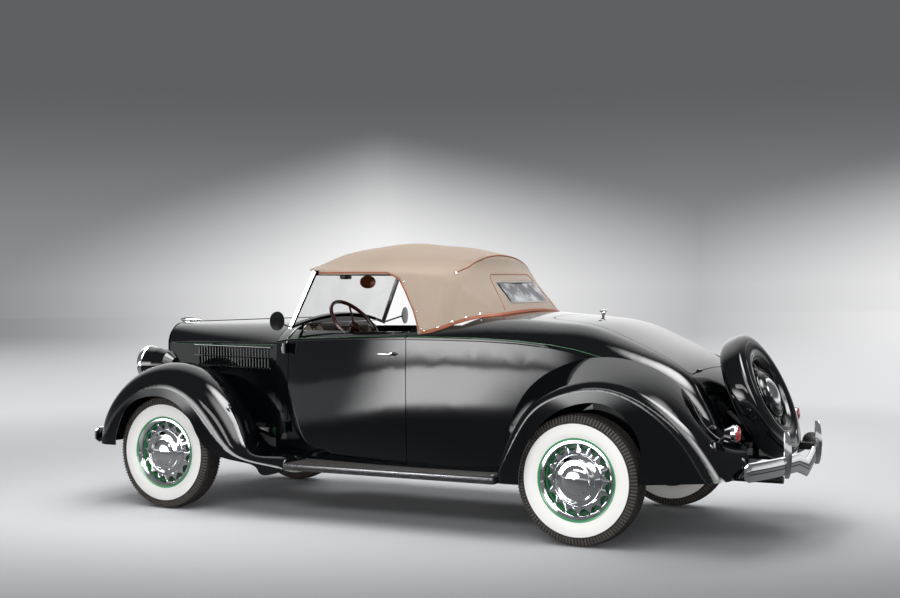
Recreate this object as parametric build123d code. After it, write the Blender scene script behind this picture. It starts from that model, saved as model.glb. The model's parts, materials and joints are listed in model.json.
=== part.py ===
from build123d import *
import math
import os

# A two-seat roadster of the middle 1930s with a folded-down rumble seat lid, a canvas top,
# separate fenders and running boards.  Front is -Y, the car's left is +X, up is +Z.
# The origin is on the ground under the middle of the whole car.  Lengths are millimetres.

# Chassis
wheelbase = 2845.0
front_axle_y = -1612.5
front_track = 1420.0
rear_track = 1480.0
rail_gap = 330.0
rail_width = 60.0
rail_height = 100.0
kick_front = 95.0
kick_rear = 205.0
frame_front_y = -2030.0
frame_rear_y = 1800.0
seat_gap = 0.3

# Wheels and tyres
tyre_diameter = 712.0
tyre_width = 158.0
rim_radius = 203.0
rim_width = 104.0
rim_lip = 17.0
sheet = 5.0
tyre_fit = 0.4
hub_radius = 26.0
hub_fit = 0.4
drum_radius = 152.0
kingpin_inset = 118.0
torque_tube = 26.0

# Body shell
wall = 58.0
deck_wall = 24.0
gap = 5.0
door_front_y = -792.0
door_rear_y = 122.0
door_top = 1130.0
door_bottom_front = 405.0
door_bottom_rear = 372.0
hinge_x = 606.0
hinge_barrel = 9.0
cowl_front_y = -908.0
cockpit_front_y = -768.0
cockpit_rear_y = 560.0
lid_front_y = 890.0
lid_rear_y = 1722.0
lid_half_width = 372.0
lid_corner = 90.0
well_radius = 404.0
well_inner = 628.0
well_wall = 46.0
bulkhead = 23.2
tail_wall = 30.0

# Hood
hood_front_y = -2040.0
nose_crest = 1160.0
hood_sheet = 16.0
hood_pin = 5.0
lid_pin = 8.0
pin_fit = 0.3
apron_sheet = 8.0
apron_bottom = 540.0
hood_side_front = 862.0
hood_side_rear = 852.0

# Fenders and boards
fender_sheet = 7.0
board_top = 347.0
board_thickness = 38.0
board_front_y = -640.0
board_rear_y = 762.0
board_outer = 852.0

# Windshield and canvas
post_foot = 556.0
post_head = 522.0
glass_foot_z = 1141.0
glass_head_z = 1492.0
glass_foot_y = -790.0
glass_lean = 25.0
frame_bar = 24.0
frame_depth = 20.0
glass_thickness = 6.0
canvas = 9.0

# Seats and controls
floor_top = 452.0
floor_sheet = 14.0
floor_step_y = 656.0
seat_half = 520.0
seat_front_y = 30.0
seat_rear_y = 500.0
seat_top = 800.0
wheel_centre = (330.0, -452.0, 1156.0)
steer_radius = 205.0
steer_rim = 12.0
column_tilt = 49.4
column_length = 968.0
column_radius = 19.0

# Bumpers
bumper_half = 715.0
half_length = 2304.0
rear_guard_stand = 42.0
front_guard_stand = 24.0
rear_bumper_sweep = 134.0
front_bumper_sweep = 30.0
bumper_z = 432.0
bumper_height = 78.0
bumper_sheet = 12.0
guard_x = 330.0

# Lamps
lamp_y = -1968.0
lamp_z = 896.0

# Spare wheel
spare_centre_y = 2004.0
spare_centre_z = 768.0
spare_tilt = 24.0

rear_axle_y = front_axle_y + wheelbase
tyre_radius = tyre_diameter / 2
axle_z = tyre_radius
rear_bumper_y = half_length - rear_guard_stand
front_bumper_y = front_guard_stand - half_length
rail_bottom = floor_top - floor_sheet - seat_gap - rail_height
rear_floor_bottom = rail_bottom + kick_rear + rail_height + seat_gap
lid_axis_y = lid_rear_y + gap / 2
door_axis_y = door_front_y - gap / 2


def line(a, b):
    return Edge.make_line(a, b)


def arc(a, tangent, b):
    return Edge.make_tangent_arc(a, tangent, b)


def bowed(a, b, bulge, side):
    """Edge from a to b whose middle stands out by bulge along the vector side."""
    middle = (Vector(a) + Vector(b)) * 0.5 + Vector(side) * bulge
    return Edge.make_three_point_arc(a, middle, b)


def block(x0, x1, y0, y1, z0, z1):
    return Pos((x0 + x1) / 2, (y0 + y1) / 2, (z0 + z1) / 2) * Box(x1 - x0, y1 - y0, z1 - z0)


def mirrored(shape):
    return mirror(shape, about=Plane.YZ)


def biggest(shape):
    return max(shape.solids(), key=lambda s: s.volume)


def rod(a, b, radius):
    """Round bar between two points."""
    a, b = Vector(a), Vector(b)
    along = b - a
    plane = Plane(origin=a, z_dir=along.normalized())
    return extrude(plane * Circle(radius), along.length)


def side_prism(points, x0, x1):
    """Flat outline given as (y, z) pairs, drawn out along X from x0 to x1."""
    outline = Polyline(*[(x0, y, z) for y, z in points], close=True)
    return extrude(make_face(outline), x1 - x0, dir=(1, 0, 0))


def round_slot_plan(x_half, y0, y1, r0, r1, z):
    """Plan outline of an opening with corner radius r0 in front and r1 at the rear."""
    k = math.sqrt(0.5)
    e = [line((-x_half + r0, y0, z), (x_half - r0, y0, z)) if x_half > r0 else None]
    e.append(Edge.make_three_point_arc((x_half - r0, y0, z), (x_half - r0 + r0 * k, y0 + r0 - r0 * k, z),
                                       (x_half, y0 + r0, z)))
    e.append(line((x_half, y0 + r0, z), (x_half, y1 - r1, z)))
    e.append(Edge.make_three_point_arc((x_half, y1 - r1, z), (x_half - r1 + r1 * k, y1 - r1 + r1 * k, z),
                                       (x_half - r1, y1, z)))
    e.append(line((x_half - r1, y1, z), (-x_half + r1, y1, z)) if x_half > r1 else None)
    e.append(Edge.make_three_point_arc((-x_half + r1, y1, z), (-x_half + r1 - r1 * k, y1 - r1 + r1 * k, z),
                                       (-x_half, y1 - r1, z)))
    e.append(line((-x_half, y1 - r1, z), (-x_half, y0 + r0, z)))
    e.append(Edge.make_three_point_arc((-x_half, y0 + r0, z), (-x_half + r0 - r0 * k, y0 + r0 - r0 * k, z),
                                       (-x_half + r0, y0, z)))
    return [i for i in e if i is not None]


def opening_tool(x_half, y0, y1, r0, r1, z0, z1):
    wire = Wire(round_slot_plan(x_half, y0, y1, r0, r1, z0))
    return extrude(Face(wire), z1 - z0, dir=(0, 0, 1))


# Body sections, front to rear.  Columns: y, crest height, shoulder half width, shoulder drop
# below the crest, belt half width, belt height, sill half width, sill height.
body_table = (
    (-908, 1198, 300, 26, 527, 1053, 548, 352),
    (-790, 1206, 340, 28, 560, 1068, 582, 352),
    (-330, 1224, 430, 28, 642, 1086, 655, 352),
    (125, 1236, 470, 26, 694, 1096, 694, 352),
    (600, 1240, 480, 26, 692, 1090, 690, 352),
    (1010, 1211, 460, 25, 655, 1058, 652, 352),
    (1300, 1147, 425, 24, 612, 992, 610, 360),
    (1540, 1040, 395, 22, 555, 893, 553, 372),
    (1725, 922, 365, 20, 500, 765, 498, 388),
    (1870, 722, 320, 18, 438, 650, 436, 398),
    (1985, 545, 250, 12, 368, 508, 366, 404),
)


def body_section(row, side_in, top_in, bottom_out):
    y, crest, xs, drop, xb, zb, xl, zl = row
    xb, xl, xs = xb - side_in, xl - side_in, xs - side_in * 0.7
    crest, zb, zl = crest - top_in, zb - top_in * 0.5, zl - bottom_out
    zs = crest - drop
    radius = (xs * xs + drop * drop) / (2 * drop)
    slope = math.asin(xs / radius)
    down = (math.cos(slope), 0, -math.sin(slope))
    edges = [
        line((-xl, y, zl), (xl, y, zl)),
        bowed((xl, y, zl), (xb, y, zb), 9, (1, 0, 0)),
        arc((xs, y, zs), down, (xb, y, zb)),
        Edge.make_three_point_arc((xs, y, zs), (0, y, crest), (-xs, y, zs)),
        arc((-xs, y, zs), (-down[0], 0, down[2]), (-xb, y, zb)),
        bowed((-xb, y, zb), (-xl, y, zl), 9, (-1, 0, 0)),
    ]
    return Wire(edges)


def body_loft(side_in=0.0, top_in=0.0, bottom_out=0.0, rows=body_table):
    return Solid.make_loft([body_section(r, side_in, top_in, bottom_out) for r in rows])


def moved_ends(rows, front, rear):
    """The same sections with the first one moved back and the last one moved forward."""
    first, last = list(rows[0]), list(rows[-1])
    first[0] += front
    last[0] -= rear
    return (tuple(first),) + tuple(rows[1:-1]) + (tuple(last),)


def cavity(side_in, top_in, bottom_out):
    """The hollow inside the shell, behind the bulkhead at its front."""
    return body_loft(side_in, top_in, bottom_out, moved_ends(body_table, bulkhead, tail_wall))


# Hood sections.  Columns: y, belt half width, belt height, shoulder share, shoulder drop.
hood_table = (
    (-2040, 205, 1026, 0.50, 10),
    (-1861, 258, 1037, 0.52, 14),
    (-1373, 400, 1047, 0.56, 20),
    (-908, 527, 1053, 0.57, 26),
)


def hood_crest(y):
    share = (y - hood_front_y) / (cowl_front_y - hood_front_y)
    return nose_crest + (1198 - nose_crest) * share


def hood_section(row, inward, side_bottom):
    y, xb, zb, share, drop = row
    crest = hood_crest(y) - inward
    xb, zb = xb - inward, zb
    xs = xb * share
    zs = crest - drop
    radius = (xs * xs + drop * drop) / (2 * drop)
    slope = math.asin(xs / radius)
    down = (math.cos(slope), 0, -math.sin(slope))
    return Wire([
        line((-xb, y, side_bottom), (xb, y, side_bottom)),
        line((xb, y, side_bottom), (xb, y, zb)),
        arc((xs, y, zs), down, (xb, y, zb)),
        Edge.make_three_point_arc((xs, y, zs), (0, y, crest), (-xs, y, zs)),
        arc((-xs, y, zs), (-down[0], 0, down[2]), (-xb, y, zb)),
        line((-xb, y, zb), (-xb, y, side_bottom)),
    ])


def hood_loft(inward, side_bottom):
    return Solid.make_loft([hood_section(r, inward, side_bottom) for r in hood_table])


# Fender sections.  A section lies in a plane through an X line.  Columns: lip y, lip z, angle of
# the section from +Y, lip to turn, lip to inner edge, outer half width, inner half width,
# corner radius, corner turn in degrees.
front_fender_table = (
    (-1955, 392, 180, 55, 170, 846, 374, 140, 90),
    (-1930, 490, 166, 50, 165, 856, 374, 140, 90),
    (-1868, 605, 144, 30, 130, 866, 255, 140, 90),
    (-1750, 692, 117, 30, 110, 872, 262, 145, 90),
    (-1630, 718, 99, 42, 112, 874, 308, 155, 90),
    (-1520, 712, 82, 50, 112, 876, 348, 160, 90),
    (-1410, 665, 67, 58, 96, 876, 386, 160, 90),
    (-1320, 575, 53, 72, 92, 874, 416, 160, 90),
    (-1235, 440, 41, 92, 100, 870, 446, 160, 90),
    (-1040, 352, 45, 40, 80, 864, 500, 90, 90),
    (-830, 312, 68, 26, 62, 860, 580, 50, 90),
    (-642, 300, 90, 12, 50, 856, 590, 36, 90),
)
rear_fender_table = (
    (918, 318, 180, 100, 150, 858, 668, 40, 75),
    (930, 430, 180, 95, 160, 862, 668, 40, 75),
    (990, 566, 165, 80, 225, 866, 668, 45, 70),
    (1082, 677, 137, 75, 250, 870, 662, 50, 65),
    (1230, 757, 108, 62, 235, 874, 640, 55, 62),
    (1380, 778, 88, 62, 225, 874, 625, 60, 60),
    (1500, 735, 62, 80, 235, 872, 590, 65, 60),
    (1585, 640, 36, 130, 250, 868, 560, 75, 62),
    (1617, 500, 16, 230, 330, 860, 535, 90, 68),
    (1606, 358, 4.8, 350, 470, 850, 530, 110, 78),
)


def fender_section(row, sheet_in):
    """Closed section of a pressed fender, with its inner skin sheet_in below the outer one."""
    ly, lz, angle, to_turn, to_inner, xo, xi, corner, turn = row
    c, s = math.cos(math.radians(angle)), math.sin(math.radians(angle))
    b = math.radians(turn)

    def at(x, h):
        return (x, ly + h * c, lz + h * s)

    def way(x, h):
        return (x, h * c, h * s)

    def skin(d):
        turn_at = at(xo - d, to_turn)
        r = corner - d
        top = at(xo - corner + r * math.cos(b), to_turn + r * math.sin(b))
        return turn_at, top, at(xi, to_inner - d)

    t0, s0, i0 = skin(0)
    t1, s1, i1 = skin(sheet_in)
    inward = way(-math.sin(b), math.cos(b))
    outer_l, inner_l = at(xo, 0), at(xo - sheet_in, 0)
    back = Vector(*inward) * -1
    return Wire([
        line(outer_l, t0),
        arc(t0, way(0, 1), s0),
        arc(s0, inward, i0),
        line(i0, i1),
        arc(s1, inward, i1),
        arc(t1, way(0, 1), s1),
        line(t1, inner_l),
        line(inner_l, outer_l),
    ])


def fender(table):
    return Solid.make_loft([fender_section(r, fender_sheet) for r in table])


def ring(profile, at_point, axis):
    """Revolve a closed (radius, height) outline about an axis through at_point."""
    pts = [(r, 0, h) for r, h in profile]
    face = make_face(Polyline(*pts, close=True))
    solid = revolve(face, Axis.Z)
    return Plane(origin=at_point, z_dir=axis) * solid


def tyre(at_point, axis):
    inner = rim_radius + rim_lip + tyre_fit
    half = tyre_width / 2
    bead = rim_width / 2 - 6
    tread = 62.0
    r = tyre_radius
    e = [
        line((inner, 0, -bead), (inner, 0, bead)),
        Edge.make_three_point_arc((inner, 0, bead), (inner + 52, 0, half), (r - 14, 0, tread)),
        Edge.make_three_point_arc((r - 14, 0, tread), (r, 0, 0), (r - 14, 0, -tread)),
        Edge.make_three_point_arc((r - 14, 0, -tread), (inner + 52, 0, -half), (inner, 0, -bead)),
    ]
    return Plane(origin=at_point, z_dir=axis) * revolve(Face(Wire(e)), Axis.Z)


def road_wheel(at_point, axis, bore=hub_radius + hub_fit):
    """Pressed wheel: rim, dished disc and domed hub cap, closed on the outer side."""
    rw = rim_width / 2
    r = rim_radius
    profile = [
        (bore, -34), (drum_radius - 30, -34), (r - 46, 6), (r - 26, -4), (r - 12, -rw + 14), (r - 2, -rw),
        (r + rim_lip, -rw), (r + rim_lip, -rw + 5), (r + 4, -rw + 5), (r - 6, -rw + 20),
        (r - 20, 6), (r - 10, rw - 20), (r + 2, rw - 5), (r + rim_lip, rw - 5), (r + rim_lip, rw),
        (r - 2, rw), (r - 24, rw - 14), (r - 34, 22), (r - 50, 26), (r - 88, 14), (108, 22),
        (96, 44), (66, 58), (0.0, 70), (0.0, 40), (bore, 40),
    ]
    return ring(profile, at_point, axis)


nodes = {}


def build_chassis():
    b, h = rail_bottom, rail_height
    y0, y1 = frame_front_y, frame_rear_y
    side = [
        (y0, b + kick_front), (-1350, b + kick_front), (-1080, b), (700, b), (960, b + kick_rear),
        (1480, b + kick_rear), (1680, b + 20), (y1, b + 20), (y1, b + 90), (1690, b + 20 + h),
        (1500, b + kick_rear + h), (940, b + kick_rear + h), (680, b + h), (-1060, b + h),
        (-1330, b + kick_front + h), (y0, b + kick_front + 70),
    ]
    frame = side_prism(side, rail_gap, rail_gap + rail_width)
    frame = frame + mirrored(frame)
    half = rail_gap + 4
    # Cross members.  Columns: y, half length, bottom, top.
    for y, depth, z0, z1 in ((-2008, 20, b + 112, 519.7), (front_axle_y, 40, axle_z + 82.3, axle_z + 104),
                             (-420, 40, b - 24, b + 4), (640, 40, b - 40, b + 4),
                             (rear_axle_y + 95, 30, 560, 600), (1770, 24, b + 30, b + 80)):
        frame = frame + block(-half, half, y - depth, y + depth, z0, z1)
    nodes["chassis_frame"] = frame


def well_block(extra):
    """Solid kept round a rear wheel well, before the well itself is cut."""
    reach = well_radius + well_wall + extra
    return block(well_inner - well_wall - extra, 900, rear_axle_y - reach, rear_axle_y + reach, 200,
                 axle_z + reach)


def build_body():
    outer = body_loft()
    inner = cavity(wall, deck_wall, 60.0)
    keep = well_block(0)
    inner = inner - keep - mirrored(keep)
    shell = outer - inner
    wheel_room = Plane(origin=(well_inner, rear_axle_y, axle_z), z_dir=(1, 0, 0)) * extrude(
        Circle(well_radius), 300)
    shell = shell - wheel_room - mirrored(wheel_room)
    axle_slot = block(500, 720, rear_axle_y - 60, rear_axle_y + 60, 300, 440)
    shell = shell - axle_slot - mirrored(axle_slot)

    # The cockpit opening follows the inside of the walls.
    inner_top = body_loft(wall, -60.0, 60.0)
    slot = opening_tool(700, cockpit_front_y, cockpit_rear_y, 40, 330, 300, 1500)
    well = inner_top & slot
    shell = shell - well
    cut_above = block(-900, 900, cockpit_front_y, door_rear_y + 2, door_top, 1500)
    shell = shell - cut_above

    lid_tool = opening_tool(lid_half_width, lid_front_y, lid_rear_y, lid_corner, 40, 850, 1500)
    hole_tool = opening_tool(lid_half_width + gap, lid_front_y - gap, lid_rear_y + gap, lid_corner, 40,
                             850, 1500)
    skin = outer - body_loft(wall, deck_wall, 60.0)
    lid = skin & lid_tool
    shell = shell - hole_tool

    door_tool = side_prism(
        [(door_front_y, door_bottom_front), (door_rear_y, door_bottom_rear), (door_rear_y, door_top + 1),
         (door_front_y, door_top + 1)], 350, 900)
    hole = side_prism(
        [(door_front_y - gap, door_bottom_front - gap), (door_rear_y + gap, door_bottom_rear - gap),
         (door_rear_y + gap, door_top + 60), (door_front_y - gap, door_top + 60)], 350, 900)
    door = biggest(shell & door_tool)
    shell = shell - hole - mirrored(hole)

    cowl_box = block(-900, 900, -1200, door_front_y + 30, 0, 1600)
    sill_cut = block(-900, 900, door_front_y + 30, 3000, 0, 1600)
    cowl = biggest(shell & cowl_box)
    tub = shell & sill_cut
    under = rail_gap + rail_width + 20
    cowl = cowl - block(-under, under, cowl_front_y - 1, door_front_y + 1, 0, floor_top - floor_sheet)
    cowl = cowl - steering_rod(column_radius + 4)
    # Each door hangs on two barrels that stand out from the cowl.
    for z in (500, 985):
        barrel = rod((hinge_x, door_axis_y, z), (hinge_x, door_axis_y, z + 70), hinge_barrel)
        leaf = block(540, hinge_x, door_front_y - gap - 16, door_front_y - gap - 0.5, z + 5, z + 65)
        cowl = cowl + barrel + leaf + mirrored(barrel) + mirrored(leaf)
    tub_solids = sorted(tub.solids(), key=lambda s: -s.volume)
    nodes["cowl"] = cowl
    body = tub_solids[0]
    lid = biggest(lid)
    lid_axis_z = 918.0
    for x in (-250, 190):
        body = body + rod((x, lid_axis_y, lid_axis_z), (x + 60, lid_axis_y, lid_axis_z), lid_pin)
        lid = lid - rod((x - 1, lid_axis_y, lid_axis_z), (x + 61, lid_axis_y, lid_axis_z), lid_pin + pin_fit)
    nodes["rear_body"] = body
    nodes["door_left"] = door
    nodes["door_right"] = mirrored(door)
    nodes["rumble_lid"] = biggest(lid)


def build_hood():
    outer = hood_loft(0, 700)
    inner = hood_loft(hood_sheet, 690)
    shell = outer - inner
    y0, y1 = hood_front_y + gap, cowl_front_y - gap
    split = side_prism([(y0, 1026), (y1, 1049), (y1, 1500), (y0, 1500)], 1.5, 700)
    top = biggest(shell & split)
    y1 = cowl_front_y - seat_gap
    below = side_prism([(y0, hood_side_front), (y1, hood_side_rear), (y1, 1049 - gap), (y0, 1026 - gap)],
                       1.5, 700)
    side = biggest(shell & below)
    under = side_prism([(y0, apron_bottom), (y1, apron_bottom), (y1, hood_side_rear - seat_gap),
                        (y0, hood_side_front - seat_gap)], 1.5, 700)
    apron = biggest((hood_loft(0, 500) - hood_loft(apron_sheet, 490)) & under)
    nodes["splash_aprons"] = Compound([apron, mirrored(apron)])
    foot = (0, hood_front_y - 2 + seat_gap, hood_crest(hood_front_y))
    head = (0, cowl_front_y - seat_gap, hood_crest(cowl_front_y))
    nodes["hood_hinge"] = rod(foot, head, hood_pin)
    top = biggest(top - rod(foot, head, hood_pin + pin_fit))
    nodes["hood_top_left"] = top
    nodes["hood_top_right"] = mirrored(top)
    nodes["hood_sides"] = Compound([side, mirrored(side)])


def build_grille():
    sections = []
    # Columns: y, half width, bottom height, crest height, corner radius.
    rows = ((-2042, 200, 470, 1156, 120), (-2085, 170, 470, 1118, 110), (-2118, 110, 470, 1040, 80),
            (-2134, 40, 470, 965, 34))
    for y, half, low, crest, c in rows:
        s = c * (1 - math.sqrt(0.5))
        sections.append(Wire([
            line((-half, y, low), (half, y, low)),
            line((half, y, low), (half, y, crest - c)),
            Edge.make_three_point_arc((half, y, crest - c), (half - s, y, crest - s), (half - c, y, crest)),
            line((half - c, y, crest), (-half + c, y, crest)),
            Edge.make_three_point_arc((-half + c, y, crest), (-half + s, y, crest - s), (-half, y, crest - c)),
            line((-half, y, crest - c), (-half, y, low)),
        ]))
    shell = Solid.make_loft(sections)
    core = block(-150, 150, -2200, -2041, 500, 1010)
    nodes["grille_shell"] = shell - block(-300, 300, -2060, -2000, 460, 1100) - core
    bars = None
    inside = shell & core
    for i in range(-6, 7):
        x = i * 21.0
        strip = biggest(inside & block(x - 4, x + 4, -2200, -2062, 500.5, 1009.5))
        bars = strip if bars is None else bars + strip
    back = block(-149.5, 149.5, -2075, -2062, 500.5, 1009.5)
    nodes["grille"] = back + bars


def build_fenders():
    front = fender(front_fender_table)
    rear = fender(rear_fender_table)
    room = body_loft(-0.5, 0, 40)
    rear = biggest(rear - room)
    front = biggest(front - room - hood_loft(-seat_gap, 300))
    nodes["front_fenders"] = Compound([front, mirrored(front)])
    nodes["rear_fenders"] = Compound([rear, mirrored(rear)])
    board = block(rail_gap + rail_width + seat_gap, board_outer, board_front_y + 2, board_rear_y,
                  board_top - board_thickness, board_top)
    nodes["running_boards"] = Compound([board, mirrored(board)])


def build_wheels():
    for name, side, track, y in (("front_left", 1, front_track, front_axle_y),
                                 ("front_right", -1, front_track, front_axle_y),
                                 ("rear_left", 1, rear_track, rear_axle_y),
                                 ("rear_right", -1, rear_track, rear_axle_y)):
        centre = (side * track / 2, y, axle_z)
        nodes["tyre_" + name] = tyre(centre, (side, 0, 0))
        nodes["wheel_" + name] = road_wheel(centre, (side, 0, 0))
    a = math.radians(spare_tilt)
    centre = (0, spare_centre_y, spare_centre_z)
    normal = (0, math.cos(a), math.sin(a))
    nodes["spare_tyre"] = tyre(centre, normal)
    nodes["spare_wheel"] = road_wheel(centre, normal)
    face = Vector(*centre) - Vector(*normal) * (34 + seat_gap)
    plate = Plane(origin=face, z_dir=(0, -normal[1], -normal[2])) * extrude(Circle(90), 10)
    tail = body_table[-1][0] + seat_gap
    arm = side_prism([(tail, 425), (tail + 18, 425), (tail + 18, 548), (1976, 640), (1974, 742), (1940, 742),
                      (1948, 640), (tail, 548)], -40, 40)
    nodes["spare_carrier"] = plate + arm


def build_running_gear():
    pin_x = front_track / 2 - kingpin_inset
    beam = rod((-pin_x, front_axle_y, axle_z - 60), (pin_x, front_axle_y, axle_z - 60), 26)
    for s in (1, -1):
        beam = beam + rod((s * pin_x, front_axle_y, axle_z - 86), (s * pin_x, front_axle_y, axle_z - 30), 24)
        beam = beam + rod((s * (pin_x - 60), front_axle_y, axle_z - 60), (0, -960, 333), 18)
    beam = beam + block(-40, 40, front_axle_y - 30, front_axle_y + 30, axle_z - 60, axle_z + 82)
    nodes["front_axle"] = beam
    for name, s in (("left", 1), ("right", -1)):
        x = s * pin_x
        knuckle = rod((x, front_axle_y, axle_z - 30 + seat_gap), (x, front_axle_y, axle_z + 70), 22)
        knuckle = knuckle + rod((x, front_axle_y, axle_z), (s * front_track / 2 + s * 20, front_axle_y, axle_z),
                                hub_radius)
        knuckle = knuckle + rod((s * (front_track / 2 - 84), front_axle_y, axle_z),
                                (s * (front_track / 2 - 44), front_axle_y, axle_z), drum_radius)
        nodes["knuckle_" + name] = knuckle
    half = rear_track / 2
    axle = rod((-half - 20, rear_axle_y, axle_z), (half + 20, rear_axle_y, axle_z), hub_radius)
    axle = axle + rod((-half + 90, rear_axle_y, axle_z), (half - 90, rear_axle_y, axle_z), 40)
    for s in (1, -1):
        axle = axle + rod((s * (half - 84), rear_axle_y, axle_z), (s * (half - 44), rear_axle_y, axle_z),
                          drum_radius)
    axle = axle + ring([(0, -112), (62, -100), (118, -46), (128, 0), (118, 46), (62, 100), (0, 112)],
                       (0, rear_axle_y, axle_z), (1, 0, 0))
    axle = axle + rod((0, rear_axle_y, axle_z), (0, -600, 400), torque_tube) + rod((0, -600, 400), (0, -910, 400), torque_tube)
    axle = axle + block(-30, 30, rear_axle_y + 80, rear_axle_y + 110, axle_z, 560 - seat_gap)
    nodes["rear_axle"] = axle


def build_machinery():
    inner = rail_gap - seat_gap
    engine = block(-230, 230, -1700, -1130, 560, 920) + block(-120, 120, -1650, -1130, 470, 561)
    engine = engine + block(-110, 110, -1131, -914, 352, 520) + block(-inner, inner, -1425, -1375, 475, 505)
    nodes["engine"] = engine
    nodes["radiator"] = block(-180, 180, hood_front_y - 2 + seat_gap, -1990, 520, 1060)
    nodes["fuel_tank"] = block(-inner, inner, 1500, 1740, 375, 500)
    pipe_x, pipe_z = -250, 272
    pipe = rod((pipe_x, -860, pipe_z), (pipe_x, 2060, pipe_z), 22)
    pipe = pipe + rod((pipe_x, 120, pipe_z), (pipe_x, 560, pipe_z), 50)
    for y, drop in ((-420, 24), (640, 40)):
        pipe = pipe + block(pipe_x - 8, pipe_x + 8, y - 8, y + 8, pipe_z, rail_bottom - drop - seat_gap)
    nodes["exhaust"] = pipe


def build_floor():
    base = cavity(wall + 1, deck_wall + 1, -20)
    front_y = cowl_front_y + bulkhead + seat_gap
    slab = block(-900, 900, front_y, floor_step_y + floor_sheet, floor_top - floor_sheet, floor_top)
    rear_top = rear_floor_bottom + floor_sheet
    rise = block(-900, 900, floor_step_y, floor_step_y + floor_sheet, floor_top - 1, rear_top)
    rear = block(-900, 900, floor_step_y, 1700, rear_floor_bottom, rear_top)
    floor = base & (slab + rise + rear)
    clear = well_block(seat_gap)
    floor = floor - clear - mirrored(clear)
    # Beside the doors the floor stops short of their inner faces.
    door_room = block(-900, 900, door_front_y - gap, door_rear_y + gap, floor_top - 40, floor_top + 40)
    nodes["body_floor"] = biggest(floor - (door_room - body_loft(wall + gap + 2, deck_wall, 60)))


def steering_axis():
    t = math.radians(column_tilt)
    return Vector(*wheel_centre), Vector(0, math.sin(t), math.cos(t))


def steering_rod(radius):
    centre, up = steering_axis()
    return rod(centre - up * 22.4, centre - up * column_length, radius)


def build_interior():
    cushion = block(-seat_half, seat_half, seat_front_y, seat_rear_y, floor_top + 150, seat_top)
    nodes["seat_cushion"] = fillet(cushion.edges().filter_by(Axis.X), 60)
    foot = seat_top + seat_gap
    back = side_prism([(seat_rear_y - 120, foot), (seat_rear_y + 10, foot), (seat_rear_y + 90, 1130),
                       (seat_rear_y - 10, 1130)], -seat_half, seat_half)
    nodes["seat_back"] = fillet(back.edges().filter_by(Axis.X), 36)
    nodes["seat_box"] = block(-seat_half + 20, seat_half - 20, seat_front_y + 40, seat_rear_y,
                              floor_top + 0.3, floor_top + 149.7)
    dash = cavity(wall + 1, deck_wall + 1, -20) & block(-900, 900, -800, -770, 1000, 1400)
    door_room = block(488, 900, -810, -760, 990, door_top + gap)
    nodes["dashboard"] = biggest(dash - door_room - mirrored(door_room))
    centre, up = steering_axis()
    plane = Plane(origin=centre, z_dir=up)
    ring_face = Pos(steer_radius - steer_rim, 0, 0) * (Plane.XZ * Circle(steer_rim))
    wheel = plane * revolve(ring_face, Axis.Z)
    wheel = wheel + (Plane(origin=centre - up * 22, z_dir=up) * extrude(Circle(34), 24))
    for i in range(3):
        a = math.radians(90 + 120 * i)
        tip = plane.from_local_coords(Vector(math.cos(a), math.sin(a), 0) * (steer_radius - steer_rim))
        wheel = wheel + rod(centre - up * 10, tip, 6)
    nodes["steering_wheel"] = wheel
    nodes["steering_column"] = steering_rod(column_radius) + block(300, 360, -1215, -1125, 493, 590)
    nodes["levers"] = Compound([
        rod((0, -330, floor_top + 2), (0, -260, 820), 9) + Pos(0, -260, 820) * Sphere(20),
        rod((-90, -420, floor_top + 2), (-90, -470, 760), 9),
    ])
    seat_foot = rear_floor_bottom + floor_sheet + seat_gap
    cushion = block(-340, 340, 1020, 1440, seat_foot, seat_foot + 140)
    nodes["rumble_cushion"] = fillet(cushion.edges().filter_by(Axis.X), 40)
    under = body_loft(wall + 1, deck_wall + 0.4, 0)
    pad = under & side_prism([(1000, 1095), (1300, 1035), (1540, 940), (1540, 1300), (1000, 1300)], -310, 310)
    nodes["rumble_back"] = biggest(pad)


def windshield_plane():
    lean = math.radians(glass_lean)
    return Plane(origin=(0, glass_foot_y, glass_foot_z), x_dir=(1, 0, 0),
                 z_dir=(0, -math.cos(lean), math.sin(lean)))


def build_windshield():
    lean = math.radians(glass_lean)
    height = (glass_head_z - glass_foot_z) / math.cos(lean)
    crown = 72.0
    plane = windshield_plane()

    def outline(inset):
        foot, head = post_foot - inset, post_head - inset
        low, high = inset, height - inset
        pts = [(foot, low), (0, low + crown), (-foot, low), (-head, high), (head, high)]
        p = [plane.from_local_coords(Vector(x, y, 0)) for x, y in pts]
        return Wire([Edge.make_three_point_arc(p[0], p[1], p[2]), line(p[2], p[3]), line(p[3], p[4]),
                     line(p[4], p[0])])

    whole = extrude(Face(outline(0)), frame_depth / 2, both=True)
    hole = extrude(Face(outline(frame_bar)), frame_depth, both=True)
    frame = whole - hole
    nodes["windshield_frame"] = frame
    nodes["windshield_glass"] = extrude(Face(outline(frame_bar + 0.3)), glass_thickness / 2, both=True)


# Canvas sections.  Columns: y, crest height, shoulder half width, shoulder drop, eave half width,
# eave height, skirt half width, skirt height.
canvas_table = (
    (-640, 1575, 300, 24, 548, 1506, 600, 1080),
    (-470, 1638, 330, 30, 580, 1496, 650, 1080),
    (-150, 1664, 340, 36, 604, 1486, 676, 1080),
    (183, 1630, 340, 36, 602, 1466, 684, 1080),
    (390, 1583, 320, 34, 572, 1436, 668, 1080),
    (530, 1534, 300, 32, 528, 1392, 636, 1080),
)
rear_panel_table = (
    canvas_table[-1],
    (618, 1392, 275, 27, 466, 1290, 566, 1080),
    (705, 1236, 250, 20, 396, 1180, 480, 1080),
)


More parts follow.
